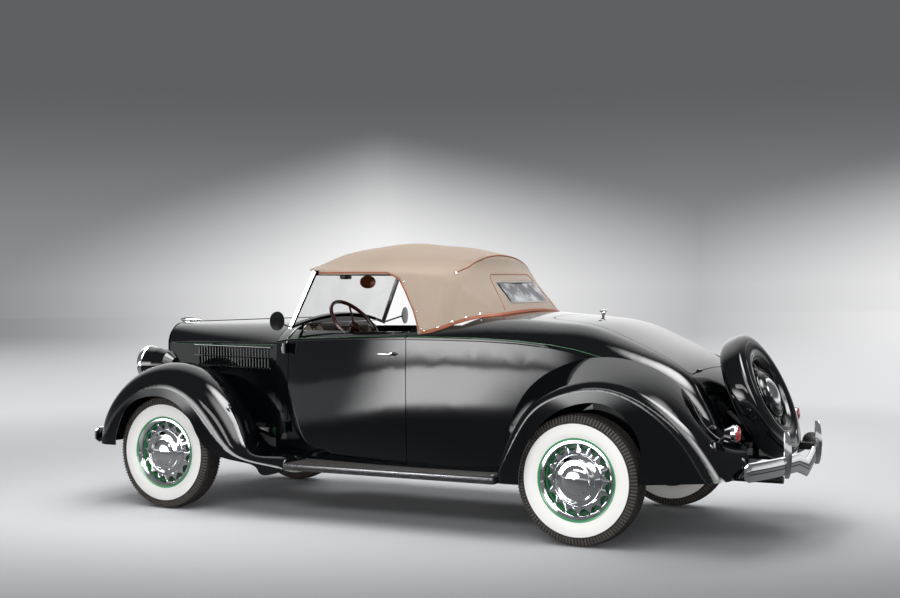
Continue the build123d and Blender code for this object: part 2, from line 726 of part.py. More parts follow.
def build_canvas():
    outer = body_loft(rows=canvas_table) + body_loft(rows=rear_panel_table)
    panel_rows = [(r[0] - canvas,) + r[1:] for r in rear_panel_table]
    inner = body_loft(canvas, canvas, 20, moved_ends(canvas_table, 40, canvas))
    inner = inner + body_loft(canvas, canvas, 20, panel_rows)
    top = outer - inner - body_loft(-1.0, -1.0, 0)
    window = side_prism([(-900, 1060), (-900, 1472), (-30, 1468), (40, 1430), (90, 1360), (150, 1250),
                         (190, 1150), (200, 1060)], 380, 900)
    top = top - window - mirrored(window)
    top = top - block(-900, 900, -900, -560, 1000, glass_head_z + 5)
    top = top - block(-250, 250, 470, 720, 1302, 1409)
    nodes["canvas_top"] = biggest(top)


def sweep_bar(points, height, thick, z):
    """Flat bumper bar that follows plan points (x, y) by one three-point arc, mirror image about x=0."""
    (xe, ye), (xm, ym) = points
    outer = Edge.make_three_point_arc((-xe, ye, z), (0, ym, z), (xe, ye, z))
    s = 1 if ym > ye else -1
    inner = Edge.make_three_point_arc((xe, ye - s * thick, z), (0, ym - s * thick, z), (-xe, ye - s * thick, z))
    face = Face(Wire([outer, line((xe, ye, z), (xe, ye - s * thick, z)), inner,
                      line((-xe, ye - s * thick, z), (-xe, ye, z))]))
    return extrude(face, height, dir=(0, 0, 1))


def build_bumpers():
    z = bumper_z - bumper_height / 2
    rear = sweep_bar(((bumper_half, rear_bumper_y - rear_bumper_sweep), (0, rear_bumper_y)), bumper_height,
                     bumper_sheet, z)
    front = sweep_bar(((bumper_half, front_bumper_y + front_bumper_sweep), (0, front_bumper_y)), bumper_height,
                      bumper_sheet, z)
    for s in (1, -1):
        gx = s * guard_x
        rear = rear + block(gx - 24, gx + 24, rear_bumper_y - 60, rear_bumper_y + rear_guard_stand, 366, 612)
        front = front + block(gx - 34, gx + 34, front_bumper_y - front_guard_stand, front_bumper_y + 40, 372, 560)
        bx = s * (rail_gap + 22)
        rear = rear + block(bx - 12, bx + 12, frame_rear_y + seat_gap, rear_bumper_y - 20, 372, 392)
        front = front + block(bx - 12, bx + 12, front_bumper_y + 20, frame_front_y - seat_gap, 438, 462)
    nodes["rear_bumper"] = rear
    nodes["front_bumper"] = front


def build_lamps():
    lamp_profile = [(0.01, -240), (44, -228), (84, -182), (106, -104), (114, -30), (114, -6), (102, 0),
                    (0.01, 14)]
    lamp = ring(lamp_profile, (500, lamp_y, lamp_z), (0, -1, 0))
    lamp = lamp + rod((500, lamp_y + 90, lamp_z), (500, lamp_y + 110, 600), 20)
    # The lamp stands on the fender: what is left above the skin.
    lamp = max((lamp - fender(front_fender_table)).solids(), key=lambda i: i.center().Z)
    nodes["headlamps"] = Compound([lamp, mirrored(lamp)])
    tail = ring([(0.01, -70), (26, -60), (44, -20), (46, 0), (38, 10), (0.01, 16)], (600, 2046, 620), (0, 1, 0))
    stalk = rod((600, 2010, 620), (560, 1930, 560), 10)
    stalk = sorted((stalk - fender(rear_fender_table)).solids(), key=lambda i: -i.center().Y)[0]
    tail = tail + stalk
    nodes["taillights"] = Compound([tail, mirrored(tail)])
    mirror_head = ring([(0.01, -14), (40, -12), (58, -2), (58, 4), (0.01, 6)], (760, -738, 1192), (0.2, 1, 0))
    arm = rod((760, -745, 1192), (post_foot + 0.6, -786, 1150), 6)
    nodes["side_mirrors"] = Compound([mirror_head + arm, mirrored(mirror_head + arm)])


def main():
    build_chassis()
    build_body()
    build_hood()
    build_grille()
    build_fenders()
    build_wheels()
    build_running_gear()
    build_machinery()
    build_floor()
    build_interior()
    build_windshield()
    build_canvas()
    build_bumpers()
    build_lamps()
    os.makedirs("parts", exist_ok=True)
    for name, shape in nodes.items():
        export_step(shape if isinstance(shape, Compound) else Compound([shape]), "parts/" + name + ".step")
        box = shape.bounding_box()
        print(name, len(shape.solids()), round(shape.volume / 1e6, 2), [round(v) for v in box.min],
              [round(v) for v in box.max], flush=True)


main()
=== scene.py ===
import json
from math import cos, pi, radians, sin, sqrt

import bmesh
import bpy
from mathutils import Matrix, Vector
from mathutils.bvhtree import BVHTree

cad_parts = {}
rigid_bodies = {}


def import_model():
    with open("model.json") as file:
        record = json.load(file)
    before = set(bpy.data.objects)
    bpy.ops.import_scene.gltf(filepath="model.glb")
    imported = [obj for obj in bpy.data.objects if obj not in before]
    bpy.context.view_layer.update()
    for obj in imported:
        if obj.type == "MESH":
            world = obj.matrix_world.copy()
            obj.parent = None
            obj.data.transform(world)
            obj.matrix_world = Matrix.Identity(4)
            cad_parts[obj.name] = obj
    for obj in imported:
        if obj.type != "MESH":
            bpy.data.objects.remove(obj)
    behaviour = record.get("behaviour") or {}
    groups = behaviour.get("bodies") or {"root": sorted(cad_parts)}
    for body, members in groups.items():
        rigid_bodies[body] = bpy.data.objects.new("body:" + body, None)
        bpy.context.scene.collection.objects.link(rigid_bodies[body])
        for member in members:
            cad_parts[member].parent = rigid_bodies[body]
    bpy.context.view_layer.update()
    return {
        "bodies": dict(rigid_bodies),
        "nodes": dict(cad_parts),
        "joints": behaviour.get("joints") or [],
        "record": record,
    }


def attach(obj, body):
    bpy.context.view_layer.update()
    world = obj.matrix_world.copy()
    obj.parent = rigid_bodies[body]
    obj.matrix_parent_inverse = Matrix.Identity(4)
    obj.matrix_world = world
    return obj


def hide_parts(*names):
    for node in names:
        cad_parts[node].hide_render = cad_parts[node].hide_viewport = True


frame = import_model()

# The camera stands behind the car's left side, low and far off, with a long
# lens, so that the wheels stay nearly the same size.
scene = bpy.context.scene
eye = Vector((7.4668, 4.1115, 1.398))
yaw, pitch, roll = 0.4994, 0.0099, -0.0079
ahead = Vector((-cos(yaw) * cos(pitch), -sin(yaw) * cos(pitch), -sin(pitch)))
level_right = ahead.cross(Vector((0, 0, 1))).normalized()
level_up = level_right.cross(ahead)
camera_right = cos(roll) * level_right + sin(roll) * level_up
camera_up = cos(roll) * level_up - sin(roll) * level_right
turn = Matrix((camera_right, camera_up, -ahead)).transposed().to_4x4()
lens = bpy.data.cameras.new("camera")
lens.lens = 54.41
lens.sensor_width = 36.0
lens.clip_end = 200.0
camera = bpy.data.objects.new("camera", lens)
camera.matrix_world = Matrix.Translation(eye) @ turn
scene.collection.objects.link(camera)
scene.camera = camera
scene.view_settings.view_transform = "Standard"


# The studio: a pale floor that fades into a grey wall with a white glow
# behind the car, one large overhead soft box and three long side boxes.
def tone(red, green, blue):
    """A colour as it shows on screen, 0 to 255, in scene values, with alpha."""
    parts = [c / 255 for c in (red, green, blue)]
    return tuple(p / 12.92 if p < 0.04 else ((p + 0.055) / 1.055) ** 2.4 for p in parts) + (1.0,)


class Value:
    """One socket of a finish. Sums and products of values add Math nodes."""

    def __init__(self, finish, socket):
        self.finish = finish
        self.socket = socket

    def sum_of(self, operation, first, second):
        return self.finish.sum_of(operation, first, second)

    def __add__(self, other):
        return self.sum_of("ADD", self, other)

    def __sub__(self, other):
        return self.sum_of("SUBTRACT", self, other)

    def __rsub__(self, other):
        return self.sum_of("SUBTRACT", other, self)

    def __gt__(self, other):
        return self.sum_of("GREATER_THAN", self, other)

    def __mul__(self, other):
        return self.sum_of("MULTIPLY", self, other)

    __radd__ = __add__
    __rmul__ = __mul__


class Nodes:
    """A node tree that is filled by naming a node's settings and its sockets."""

    def __init__(self, tree):
        self.tree = tree

    def add(self, kind, settings, sockets, output=0):
        node = self.tree.nodes.new(kind)
        for key, value in settings.items():
            setattr(node, key, value)
        for key, value in sockets.items():
            self.put(node.inputs[key], value)
        return Value(self, node.outputs[output] if len(node.outputs) else None)

    def put(self, socket, value):
        if isinstance(value, Value):
            self.tree.links.new(value.socket, socket)
        else:
            socket.default_value = value

    def sum_of(self, operation, first, second):
        return self.add("ShaderNodeMath", {"operation": operation}, {0: first, 1: second})

    def place(self, output="Object"):
        return self.add("ShaderNodeTexCoord", {}, {}, output)

    def axis(self, vector, name):
        return self.add("ShaderNodeSeparateXYZ", {}, {0: vector}, name)

    def along(self, vector, direction):
        """How far a point lies along a direction."""
        return self.add("ShaderNodeVectorMath", {"operation": "DOT_PRODUCT"},
                        {0: vector, 1: direction}, "Value")

    def spread(self, value, low, high, bottom=0.0, top=1.0):
        """A value from low to high, smoothly turned into bottom to top."""
        return self.add("ShaderNodeMapRange", {"interpolation_type": "SMOOTHSTEP"},
                        {0: value, 1: low, 2: high, 3: bottom, 4: top})

    def noise(self, scale, detail=2.0, stretch=(1.0, 1.0, 1.0)):
        spot = self.add("ShaderNodeMapping", {}, {"Vector": self.place(), "Scale": stretch})
        return self.add("ShaderNodeTexNoise", {}, {"Vector": spot, "Scale": scale, "Detail": detail})

    def mix(self, share, first, second):
        return self.add("ShaderNodeMix", {"data_type": "RGBA"}, {0: share, 6: first, 7: second}, 2)


world = bpy.data.worlds.new("studio")
world.use_nodes = True
world.node_tree.nodes.clear()
air = Nodes(world.node_tree)
look = air.place("Generated")
upwards = air.axis(look, "Z")
sideways = air.along(look, tuple(level_right))
forwards = air.along(look, tuple(ahead))


def glow_share(nodes, side, rise):
    """How white the wall is: falls off quickly to the left, slowly to the right and upwards."""
    left = nodes.sum_of("MAXIMUM", -0.045 - side, 0.0)
    right = nodes.sum_of("MAXIMUM", side + 0.06, 0.0)
    second = nodes.sum_of("MAXIMUM", 0.40 - side, 0.0)
    fall = nodes.sum_of("MINIMUM", left * 3.0 + right * 2.3 + 0.08, second * 2.2 + 0.15)
    if rise:
        lifted = nodes.sum_of("MAXIMUM", rise, 0.0)
        fall = fall + lifted * 3.5 + lifted * lifted * 35.0
    return nodes.spread(fall, 0.0, 1.0, 1.0, 0.0)


wall_low, wall_high, wall_white = tone(140, 141, 145), tone(94, 95, 97), tone(255, 255, 255)
grey = air.mix(air.spread(upwards, 0.0, 0.15), wall_low, wall_high)
wall = air.mix(glow_share(air, sideways, upwards) * (forwards > 0.0), grey, wall_white)
seen = air.add("ShaderNodeBackground", {}, {"Color": wall, "Strength": 1.0})
fill = air.add("ShaderNodeBackground", {}, {"Color": tone(205, 206, 210), "Strength": 0.30})
rays = world.node_tree.nodes.new("ShaderNodeLightPath")
straight = Value(air, rays.outputs["Is Camera Ray"]) + Value(air, rays.outputs["Is Glossy Ray"])
straight = straight + Value(air, rays.outputs["Is Transmission Ray"])
mirrored = Value(air, rays.outputs["Is Glossy Ray"])

# What the lacquer and the plating mirror: a dimmer wall on the camera's side,
# a light band low in front of the doors, and soft round lights overhead.
dim_wall = air.mix(air.spread(forwards, -0.6, 0.5, 1.0, 0.0), wall, tone(122, 122, 126))
boxes = air.spread(upwards * 0.6 + forwards * 0.75, 0.62, 0.90, 0.0, 1.5)
door_side = (0.891, -0.454, 0.0)
low_band = air.spread(upwards, -0.01, 0.02) * air.spread(upwards, 0.06, 0.30, 1.0, 0.0)
boxes = boxes + low_band * air.spread(air.along(look, door_side), 0.93, 0.995, 0.0, 11.0)
round_lights = (
    ((-0.10, 0.50, 0.86), 0.93, 18.0),
    ((0.20, 0.84, 0.50), 0.955, 8.0),
    ((0.42, 0.60, 0.68), 0.90, 6.0),
)
for direction, edge, strength in round_lights:
    boxes = boxes + air.spread(air.along(look, direction), edge, 1.0, 0.0, strength)
lamp_light = air.add("ShaderNodeCombineXYZ", {}, {0: boxes, 1: boxes, 2: boxes})
lit_wall = air.add("ShaderNodeVectorMath", {"operation": "ADD"}, {0: dim_wall, 1: lamp_light})
air.put(seen.socket.node.inputs["Color"], air.mix(mirrored, wall, lit_wall))
sky = air.add("ShaderNodeMixShader", {}, {0: straight > 0.5, 1: fill, 2: seen})
air.add("ShaderNodeOutputWorld", {}, {"Surface": sky})
scene.world = world

ground = bmesh.new()
bmesh.ops.create_circle(ground, cap_ends=True, segments=96, radius=60.0)
bmesh.ops.translate(ground, verts=ground.verts, vec=(0, 0, -0.001))
floor_mesh = bpy.data.meshes.new("floor")
ground.to_mesh(floor_mesh)
ground.free()
studio_floor = bpy.data.objects.new("floor", floor_mesh)
scene.collection.objects.link(studio_floor)
pale = bpy.data.materials.new("pale_floor")
pale.use_nodes = True
pale.node_tree.nodes.clear()
ground_nodes = Nodes(pale.node_tree)
spot = ground_nodes.place()
depth = ground_nodes.along(spot, (-cos(yaw), -sin(yaw), 0.0))
across = ground_nodes.along(spot, tuple(level_right))
# The floor is painted darker towards the camera: painted shade that fades out near the car.
near_painted_shade = ground_nodes.spread(depth, -3.0, 0.2)
floor_painted_shade_colour = ground_nodes.mix(near_painted_shade, tone(146, 147, 150), tone(244, 245, 247))
camera_depth = -8.525
run = depth - camera_depth
beyond = run > 0.5
aside = ground_nodes.sum_of("DIVIDE", across, ground_nodes.sum_of("MAXIMUM", run, 0.5))
horizon = ground_nodes.mix(glow_share(ground_nodes, aside, None) * beyond, wall_low, wall_white)
away = ground_nodes.add("ShaderNodeVectorMath", {"operation": "LENGTH"}, {0: spot}, "Value")
far_colour = ground_nodes.mix(ground_nodes.spread(run, 9.0, 42.0), tone(226, 227, 229), horizon)
lit_side = ground_nodes.sum_of("DIVIDE", ground_nodes.along(spot, door_side), away + 0.01)
# Seen in reflections, the near floor is painted darker as painted shade, and a far band on the door side
# glows white as a painted light for the doors to mirror.
path = ground_nodes.tree.nodes.new("ShaderNodeLightPath")
floor_mirrored = Value(ground_nodes, path.outputs["Is Glossy Ray"])
shone = floor_mirrored * ground_nodes.spread(lit_side, 0.93, 0.995) * ground_nodes.spread(away, 7.0, 9.0)
far_strength = shone * 9.0 + 1.0
far_colour = ground_nodes.mix(shone, far_colour, wall_white)
far = ground_nodes.add("ShaderNodeEmission", {}, {"Color": far_colour, "Strength": far_strength})
matt_colour = ground_nodes.mix(floor_mirrored * 0.65, floor_painted_shade_colour, tone(20, 20, 22))
matt = ground_nodes.add("ShaderNodeBsdfDiffuse", {}, {"Color": matt_colour})
kept_matt = floor_mirrored * ground_nodes.spread(away, 6.0, 9.0, 1.0, 0.0)
blend_out = ground_nodes.spread(away, 2.6, 9.0) * (1.0 - kept_matt)
both = ground_nodes.add("ShaderNodeMixShader", {}, {0: blend_out, 1: matt, 2: far})
ground_nodes.add("ShaderNodeOutputMaterial", {}, {"Surface": both})
floor_mesh.materials.append(pale)

soft_boxes = (
    ("overhead", (0.6, 0.0, 4.8), (0.0, 0.0, 0.6), 3.2, 8.0, 240.0),
    ("near_side", (6.5, 1.0, 3.4), (0.0, 0.2, 0.8), 6.0, 0.9, 90.0),
    ("far_side", (-6.0, -1.0, 3.6), (0.0, -0.2, 0.8), 6.0, 1.2, 110.0),
    ("low_side", (5.5, 3.2, 0.75), (-0.4, 0.6, 0.35), 4.0, 0.9, 105.0),
)
for name, place, aim, length, width, watts in soft_boxes:
    lamp = bpy.data.lights.new(name, "AREA")
    lamp.shape = "RECTANGLE"
    lamp.size = length
    lamp.size_y = width
    lamp.energy = watts
    holder = bpy.data.objects.new(name, lamp)
    aimed = (Vector(aim) - Vector(place)).to_track_quat("-Z", "Y")
    holder.matrix_world = Matrix.Translation(place) @ aimed.to_matrix().to_4x4()
    holder.visible_glossy = name == "near_side"
    scene.collection.objects.link(holder)


# The painted steel: cowl, doors, hood, fenders, deck and lamp shells are
# pressed steel with deep black lacquer, rubbed and polished.
class Finish(Nodes):
    """A material whose nodes feed one Principled shader."""

    def __init__(self, name, roughness, metallic=0.0, **constants):
        self.material = bpy.data.materials.new(name)
        self.material.use_nodes = True
        super().__init__(self.material.node_tree)
        self.shader = self.tree.nodes["Principled BSDF"]
        self.set("Roughness", roughness)
        self.set("Metallic", metallic)
        for key, value in constants.items():
            self.set(key.replace("_", " "), value)

    def set(self, socket, value):
        self.put(self.shader.inputs[socket], value)
        return self

    def bump(self, height, distance, strength=0.5):
        made = self.add("ShaderNodeBump", {}, {"Height": height, "Distance": distance, "Strength": strength})
        return self.set("Normal", made)


def worn(name, first, second, roughness, scale=6.0, metallic=0.0, grain=None, **constants):
    """A finish of two close colours in soft patches, with its roughness uneven too."""
    made = Finish(name, roughness, metallic, **constants)
    patches = made.noise(scale)
    made.set("Base Color", made.mix(patches, first, second))
    made.set("Roughness", made.spread(patches, 0.3, 0.7, roughness * 0.8, roughness * 1.25))
    if grain:
        made.bump(made.noise(grain[0], 4.0), grain[1], grain[2])
    return made


def dress(finish, *nodes):
    """Puts a finish on CAD pieces that keep their own shape."""
    for node in nodes:
        holder = frame["nodes"][node]
        if not holder.material_slots:
            holder.data.materials.append(finish.material)
        for place in holder.material_slots:
            place.material = finish.material


lacquer = worn("black_lacquer", tone(5, 6, 8), tone(8, 10, 12), 0.3, 3.0, Specular_IOR_Level=0.0,
               Coat_Weight=1.0, Coat_Roughness=0.06)
dress(lacquer, "cowl", "door_left", "door_right", "rear_body", "rumble_lid", "hood_hinge", "hood_top_left",
      "hood_top_right", "hood_sides", "splash_aprons", "grille_shell", "front_fenders", "rear_fenders",
      "headlamps", "spare_carrier")
steel = worn("chassis_black", tone(18, 18, 19), tone(30, 29, 28), 0.45, 12.0, grain=(180.0, 0.0006, 0.4))
dress(steel, "chassis_frame", "front_axle", "knuckle_left", "knuckle_right", "rear_axle", "engine",
      "radiator", "fuel_tank", "exhaust", "body_floor", "seat_box", "levers", "steering_column")
plating = worn("chrome_plate", tone(222, 224, 226), tone(236, 237, 238), 0.06, 5.0, 1.0)
dress(plating, "grille", "rear_bumper", "front_bumper", "taillights")
dark_mirror = worn("mirror_grey", tone(70, 72, 72), tone(92, 94, 94), 0.15, 9.0, 0.8)
dress(dark_mirror, "side_mirrors")
rubber_black = worn("black_rubber", tone(24, 24, 25), tone(38, 37, 36), 0.62, 20.0,
                    grain=(260.0, 0.0005, 0.5))
dress(rubber_black, "running_boards")


# Tyres: black rubber with a wide white side wall, cross ribs with a painted
# highlight on both shoulders and five grooves round the tread. The spare's is a steel cover.
def piece(name, bm, finishes, body, nodes=(), crease=35.0):
    """Closes a bmesh into one object that rides on a body and stands for some CAD nodes."""
    mesh = bpy.data.meshes.new(name)
    bm.normal_update()
    bm.to_mesh(mesh)
    bm.free()
    for finish in finishes:
        mesh.materials.append(finish.material)
    mesh.shade_smooth()
    mesh.set_sharp_from_angle(angle=radians(crease))
    made = bpy.data.objects.new(name, mesh)
    scene.collection.objects.link(made)
    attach(made, body)
    if nodes:
        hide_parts(*nodes)
    return made


def outline(bm, points):
    """Joins points (outward, radius) into a line ready to be spun about the X axis."""
    corners = [bm.verts.new((out, 0.0, radius)) for out, radius in points]
    return [bm.edges.new(pair) for pair in zip(corners, corners[1:])]


def spun(bm, points, steps, closed=True):
    """Spins an outline round the X axis and points its faces outward."""
    edges = outline(bm, points)
    if closed:
        edges.append(bm.edges.new((edges[-1].verts[1], edges[0].verts[0])))
    lines = edges + list({v for e in edges for v in e.verts})
    bmesh.ops.spin(bm, geom=lines, cent=(0, 0, 0), axis=(1, 0, 0), angle=2 * pi, steps=steps, use_merge=True)
    bmesh.ops.remove_doubles(bm, verts=bm.verts, dist=1e-6)
    bmesh.ops.recalc_face_normals(bm, faces=bm.faces)


def radius_of(point):
    return sqrt(point.y ** 2 + point.z ** 2)


white_wall = worn("white_wall", tone(246, 245, 240), tone(251, 250, 247), 0.5, 9.0,
                  grain=(320.0, 0.0004, 0.3))
tyre_rubber = worn("tyre_rubber", tone(34, 32, 30), tone(50, 46, 43), 0.7, 30.0, grain=(300.0, 0.0006, 0.6))
# The ribs' lighter rubber is a painted highlight.
rib_rubber_painted_highlight = worn("rib_rubber_painted_highlight", tone(74, 69, 64), tone(98, 91, 84), 0.55, 30.0,
                    grain=(300.0, 0.0006, 0.5))
bead, widest, tread_half, tyre_radius = 0.2035, 0.079, 0.061, 0.356
wall_inner, wall_outer = 0.226, 0.303
side_line = [(0.050, bead), (0.057, 0.2105), (0.0655, 0.2225), (0.0665, wall_inner), (0.0725, 0.236),
             (0.0775, 0.250), (widest, 0.266), (0.0785, 0.284), (0.0765, 0.297), (0.0755, wall_outer),
             (0.0735, 0.3045), (0.0715, 0.317), (0.067, 0.331), (tread_half, 0.343), (0.0565, 0.3475)]
tread_low, groove, crown = 0.349, 0.006, 0.0068
tread_line = []
for middle in (0.046, 0.023, 0.0):
    tread_line += [(middle + 0.0035, tread_low), (middle + 0.0022, tread_low - groove),
                   (middle - 0.0022, tread_low - groove), (middle - 0.0035, tread_low)]
crowned = [(out, radius + crown * (1 - (out / tread_half) ** 2)) for out, radius in tread_line]
half_line = side_line + crowned
tyre_line = half_line[:-2] + [(-out, radius) for out, radius in reversed(half_line)]
cover_half = side_line + [(0.046, 0.3540), (0.030, 0.3572), (0.0, 0.3590)]
cover_line = cover_half[:-1] + [(-out, radius) for out, radius in reversed(cover_half)]
rib_size, rib_lean, rib_place, rib_count = (0.0100, 0.0080, 0.034), radians(-24), (0.0692, 0.0, 0.3290), 112


def tyre_mesh(road_tyre):
    """A road tyre with its wall and ribs, or the spare's smooth cover. Slots: rubber, white wall, ribs in
    lighter rubber as a painted highlight.
    """
    bm = bmesh.new()
    if not road_tyre:
        spun(bm, cover_line, 120)
        return bm
    spun(bm, tyre_line, 120)
    for face in bm.faces:
        middle = face.calc_center_median()
        painted = wall_inner < radius_of(middle) < wall_outer and abs(middle.x) > 0.06
        face.material_index = 1 if painted else 0
    rib = bmesh.ops.create_cube(bm, size=1.0)["verts"]
    for face in {f for v in rib for f in v.link_faces}:
        face.material_index = 2
    bmesh.ops.scale(bm, verts=rib, vec=rib_size)
    bmesh.ops.rotate(bm, verts=rib, matrix=Matrix.Rotation(rib_lean, 3, "Y"))
    bmesh.ops.translate(bm, verts=rib, vec=rib_place)
    second = bmesh.ops.duplicate(bm, geom=rib + list({f for v in rib for f in v.link_faces}))["geom"]
    other = [g for g in second if isinstance(g, bmesh.types.BMVert)]
    bmesh.ops.scale(bm, verts=other, vec=(-1, 1, 1))
    bmesh.ops.reverse_faces(bm, faces=[g for g in second if isinstance(g, bmesh.types.BMFace)])
    blocks = [g for v in rib + other for g in (v, *v.link_edges, *v.link_faces)]
    bmesh.ops.spin(bm, geom=list(dict.fromkeys(blocks)), cent=(0, 0, 0), axis=(1, 0, 0),
                   angle=2 * pi * (rib_count - 1) / rib_count, steps=rib_count - 1, use_duplicate=True)
    return bm


wheel_places = {}
for axle, half_track, y in (("front", 0.71, -1.6125), ("rear", 0.74, 1.2325)):
    for side, word in ((1, "_left"), (-1, "_right")):
        outwards = Matrix.Rotation(0.0 if side > 0 else pi, 4, "Z")
        wheel_places[axle + word] = Matrix.Translation((side * half_track, y, tyre_radius)) @ outwards
wheel_body = {name: "wheel_" + name for name in wheel_places}
spare_lean = Matrix.Rotation(radians(-24.0), 4, "Y")
wheel_places["spare"] = Matrix.Translation((0.0, 2.004, 0.768)) @ Matrix.Rotation(pi / 2, 4, "Z") @ spare_lean
wheel_body["spare"] = "root"
for name, place in wheel_places.items():
    node = "spare_tyre" if name == "spare" else "tyre_" + name
    bm = tyre_mesh(name != "spare")
    bmesh.ops.transform(bm, matrix=place, verts=bm.verts)
    skins = (lacquer,) if name == "spare" else (tyre_rubber, white_wall, rib_rubber_painted_highlight)
    piece("tyre_tread_" + name, bm, skins, wheel_body[name], (node,))


# Wheels: pressed steel with a painted green rim, a polished trim ring, a
# plated ring of sixteen pointed fins and a stepped, domed hub cap.
rim_green = worn("rim_green", tone(62, 142, 92), tone(78, 160, 108), 0.16, 8.0, Coat_Weight=0.8)
# The dish between the fins is a darker green: painted shade in the wheel's hollows.
dish_green_painted_shade = worn("dish_green_painted_shade", tone(24, 66, 42), tone(34, 84, 54), 0.3, 8.0)
rim_line = [(0.0545, 0.2215), (0.0600, 0.2262), (0.0665, 0.2268), (0.0695, 0.2240), (0.0680, 0.2180),
            (0.0620, 0.2125), (0.056, 0.2085), (0.050, 0.2015), (0.040, 0.1975), (0.022, 0.188),
            (-0.030, 0.188), (-0.044, 0.199), (-0.052, 0.216), (-0.054, 0.222), (-0.049, 0.2225),
            (-0.046, 0.2045), (-0.036, 0.203), (0.036, 0.203), (0.046, 0.2045)]
trim_line = [(0.0600, 0.2140), (0.0650, 0.2125), (0.0655, 0.2080), (0.0625, 0.2045), (0.0630, 0.2010),
             (0.0590, 0.1960), (0.0500, 0.1915), (0.0430, 0.1895), (0.0420, 0.1910), (0.0520, 0.1980),
             (0.0560, 0.2100)]
dish_line = [(0.016, 0.1890), (0.016, 0.1700), (0.028, 0.1500), (0.036, 0.1200), (0.030, 0.1150),
             (-0.020, 0.1150), (-0.024, 0.1500), (0.002, 0.1890)]
cap_line = [(0.046, 0.1400), (0.0500, 0.1462), (0.0545, 0.1470), (0.0580, 0.1440), (0.0580, 0.1405),
            (0.0545, 0.1375), (0.0530, 0.1345), (0.0560, 0.1290), (0.0620, 0.1210), (0.0670, 0.1145),
            (0.0705, 0.1135), (0.0722, 0.1110), (0.0712, 0.1085), (0.0680, 0.1070), (0.0690, 0.1000),
            (0.0715, 0.0900), (0.0725, 0.0820), (0.0760, 0.0795), (0.0800, 0.0775), (0.0820, 0.0735),
            (0.0865, 0.0660), (0.0905, 0.0500), (0.0940, 0.0330), (0.0955, 0.0150), (0.0960, 0.0001)]


dome_radius, fin_reach, fin_root = 0.079, 0.172, 0.140


def join(bm, part, place=None, slot=0):
    """Adds one turned or boxed part to a piece, moved to its place."""
    if place is not None:
        bmesh.ops.transform(part, matrix=place, verts=part.verts)
        if place.determinant() < 0:
            bmesh.ops.reverse_faces(part, faces=part.faces)
    for face in part.faces:
        face.material_index = slot
    holder = bpy.data.meshes.new("part")
    part.to_mesh(holder)
    part.free()
    bm.from_mesh(holder)
    bpy.data.meshes.remove(holder)


def wheel_mesh():
    """Rim, trim ring, dish, fins and cap. Slots: rim paint, plating, dish paint darkened as painted shade,
    dome.
    """
    bm = bmesh.new()
    for line, steps, paint, closed in ((rim_line, 96, 0, True), (trim_line, 96, 1, True),
                                       (dish_line, 64, 2, True), (cap_line, 72, 1, False)):
        part = bmesh.new()
        spun(part, line, steps, closed)
        join(bm, part, slot=paint)
    for face in bm.faces:
        if radius_of(face.calc_center_median()) < dome_radius:
            face.material_index = 3
    fins = bmesh.new()
    star = bmesh.ops.create_circle(fins, segments=64, radius=fin_reach)["verts"]
    for count, corner in enumerate(star):
        corner.co *= (1.10, 0.955, 0.900, 0.955)[count % 4]
    inner = bmesh.ops.extrude_edge_only(fins, edges=fins.edges[:])["geom"]
    for corner in (g for g in inner if isinstance(g, bmesh.types.BMVert)):
        corner.co = corner.co.normalized() * fin_root
        corner.co.z = 0.010
    bmesh.ops.recalc_face_normals(fins, faces=fins.faces)
    bmesh.ops.solidify(fins, geom=fins.faces, thickness=0.003)
    bmesh.ops.rotate(fins, verts=fins.verts, matrix=Matrix.Rotation(pi / 2, 3, "Y"))
    bmesh.ops.translate(fins, verts=fins.verts, vec=(0.040, 0, 0))
    join(bm, fins, slot=1)
    return bm


for name, place in wheel_places.items():
    node = "spare_wheel" if name == "spare" else "wheel_" + name
    bm = wheel_mesh()
    bmesh.ops.transform(bm, matrix=place, verts=bm.verts)
    paints = (rim_green, plating, dish_green_painted_shade, plating)
    if name == "spare":
        paints = (lacquer, lacquer, lacquer, plating)
    piece("wheel_disc_" + name, bm, paints, wheel_body[name], (node,), crease=28.0)


# The canvas top: tan duck stretched over the bows, bound with brown leather
# along every edge, with a piped flap round the rear window.
def skin_of(*names):
    """The surfaces of some CAD pieces, to lay trim on."""
    corners, faces = [], []
    for name in names:
        mesh = frame["nodes"][name].data
        start = len(corners)
        corners += [v.co.copy() for v in mesh.vertices]
        faces += [[start + i for i in p.vertices] for p in mesh.polygons]
    return BVHTree.FromPolygons(corners, faces)


canvas_cloth = Finish("tan_canvas", 0.85, Sheen_Weight=0.25, Sheen_Roughness=0.5)
faded = canvas_cloth.noise(2.2, 3.0)
slubs = canvas_cloth.noise(260.0, 2.0, (1.0, 0.25, 1.0))
tan = canvas_cloth.mix(faded, tone(170, 153, 137), tone(188, 170, 153))
spot = canvas_cloth.place()
# The roof top is painted a darker tan than the sides, as painted shade.
roof_painted_shade = canvas_cloth.spread(canvas_cloth.axis(spot, "Z"), 1.46, 1.56)
tan = canvas_cloth.mix(roof_painted_shade, tan, tone(157, 139, 122))
canvas_cloth.set("Base Color", canvas_cloth.mix(slubs * 0.35, tan, tone(146, 127, 110)))
weave = slubs * 0.5
for way in ("X", "Y", "Z"):
    threads = canvas_cloth.add("ShaderNodeTexWave", {"bands_direction": way, "wave_profile": "SIN"},
                               {"Vector": spot, "Scale": 190.0, "Distortion": 0.4}, 1)
    weave = weave + threads * 0.4
canvas_cloth.bump(weave, 0.0012, 0.35)
binding = worn("brown_binding", tone(132, 72, 44), tone(152, 86, 54), 0.5, 14.0, grain=(220.0, 0.0008, 0.5))

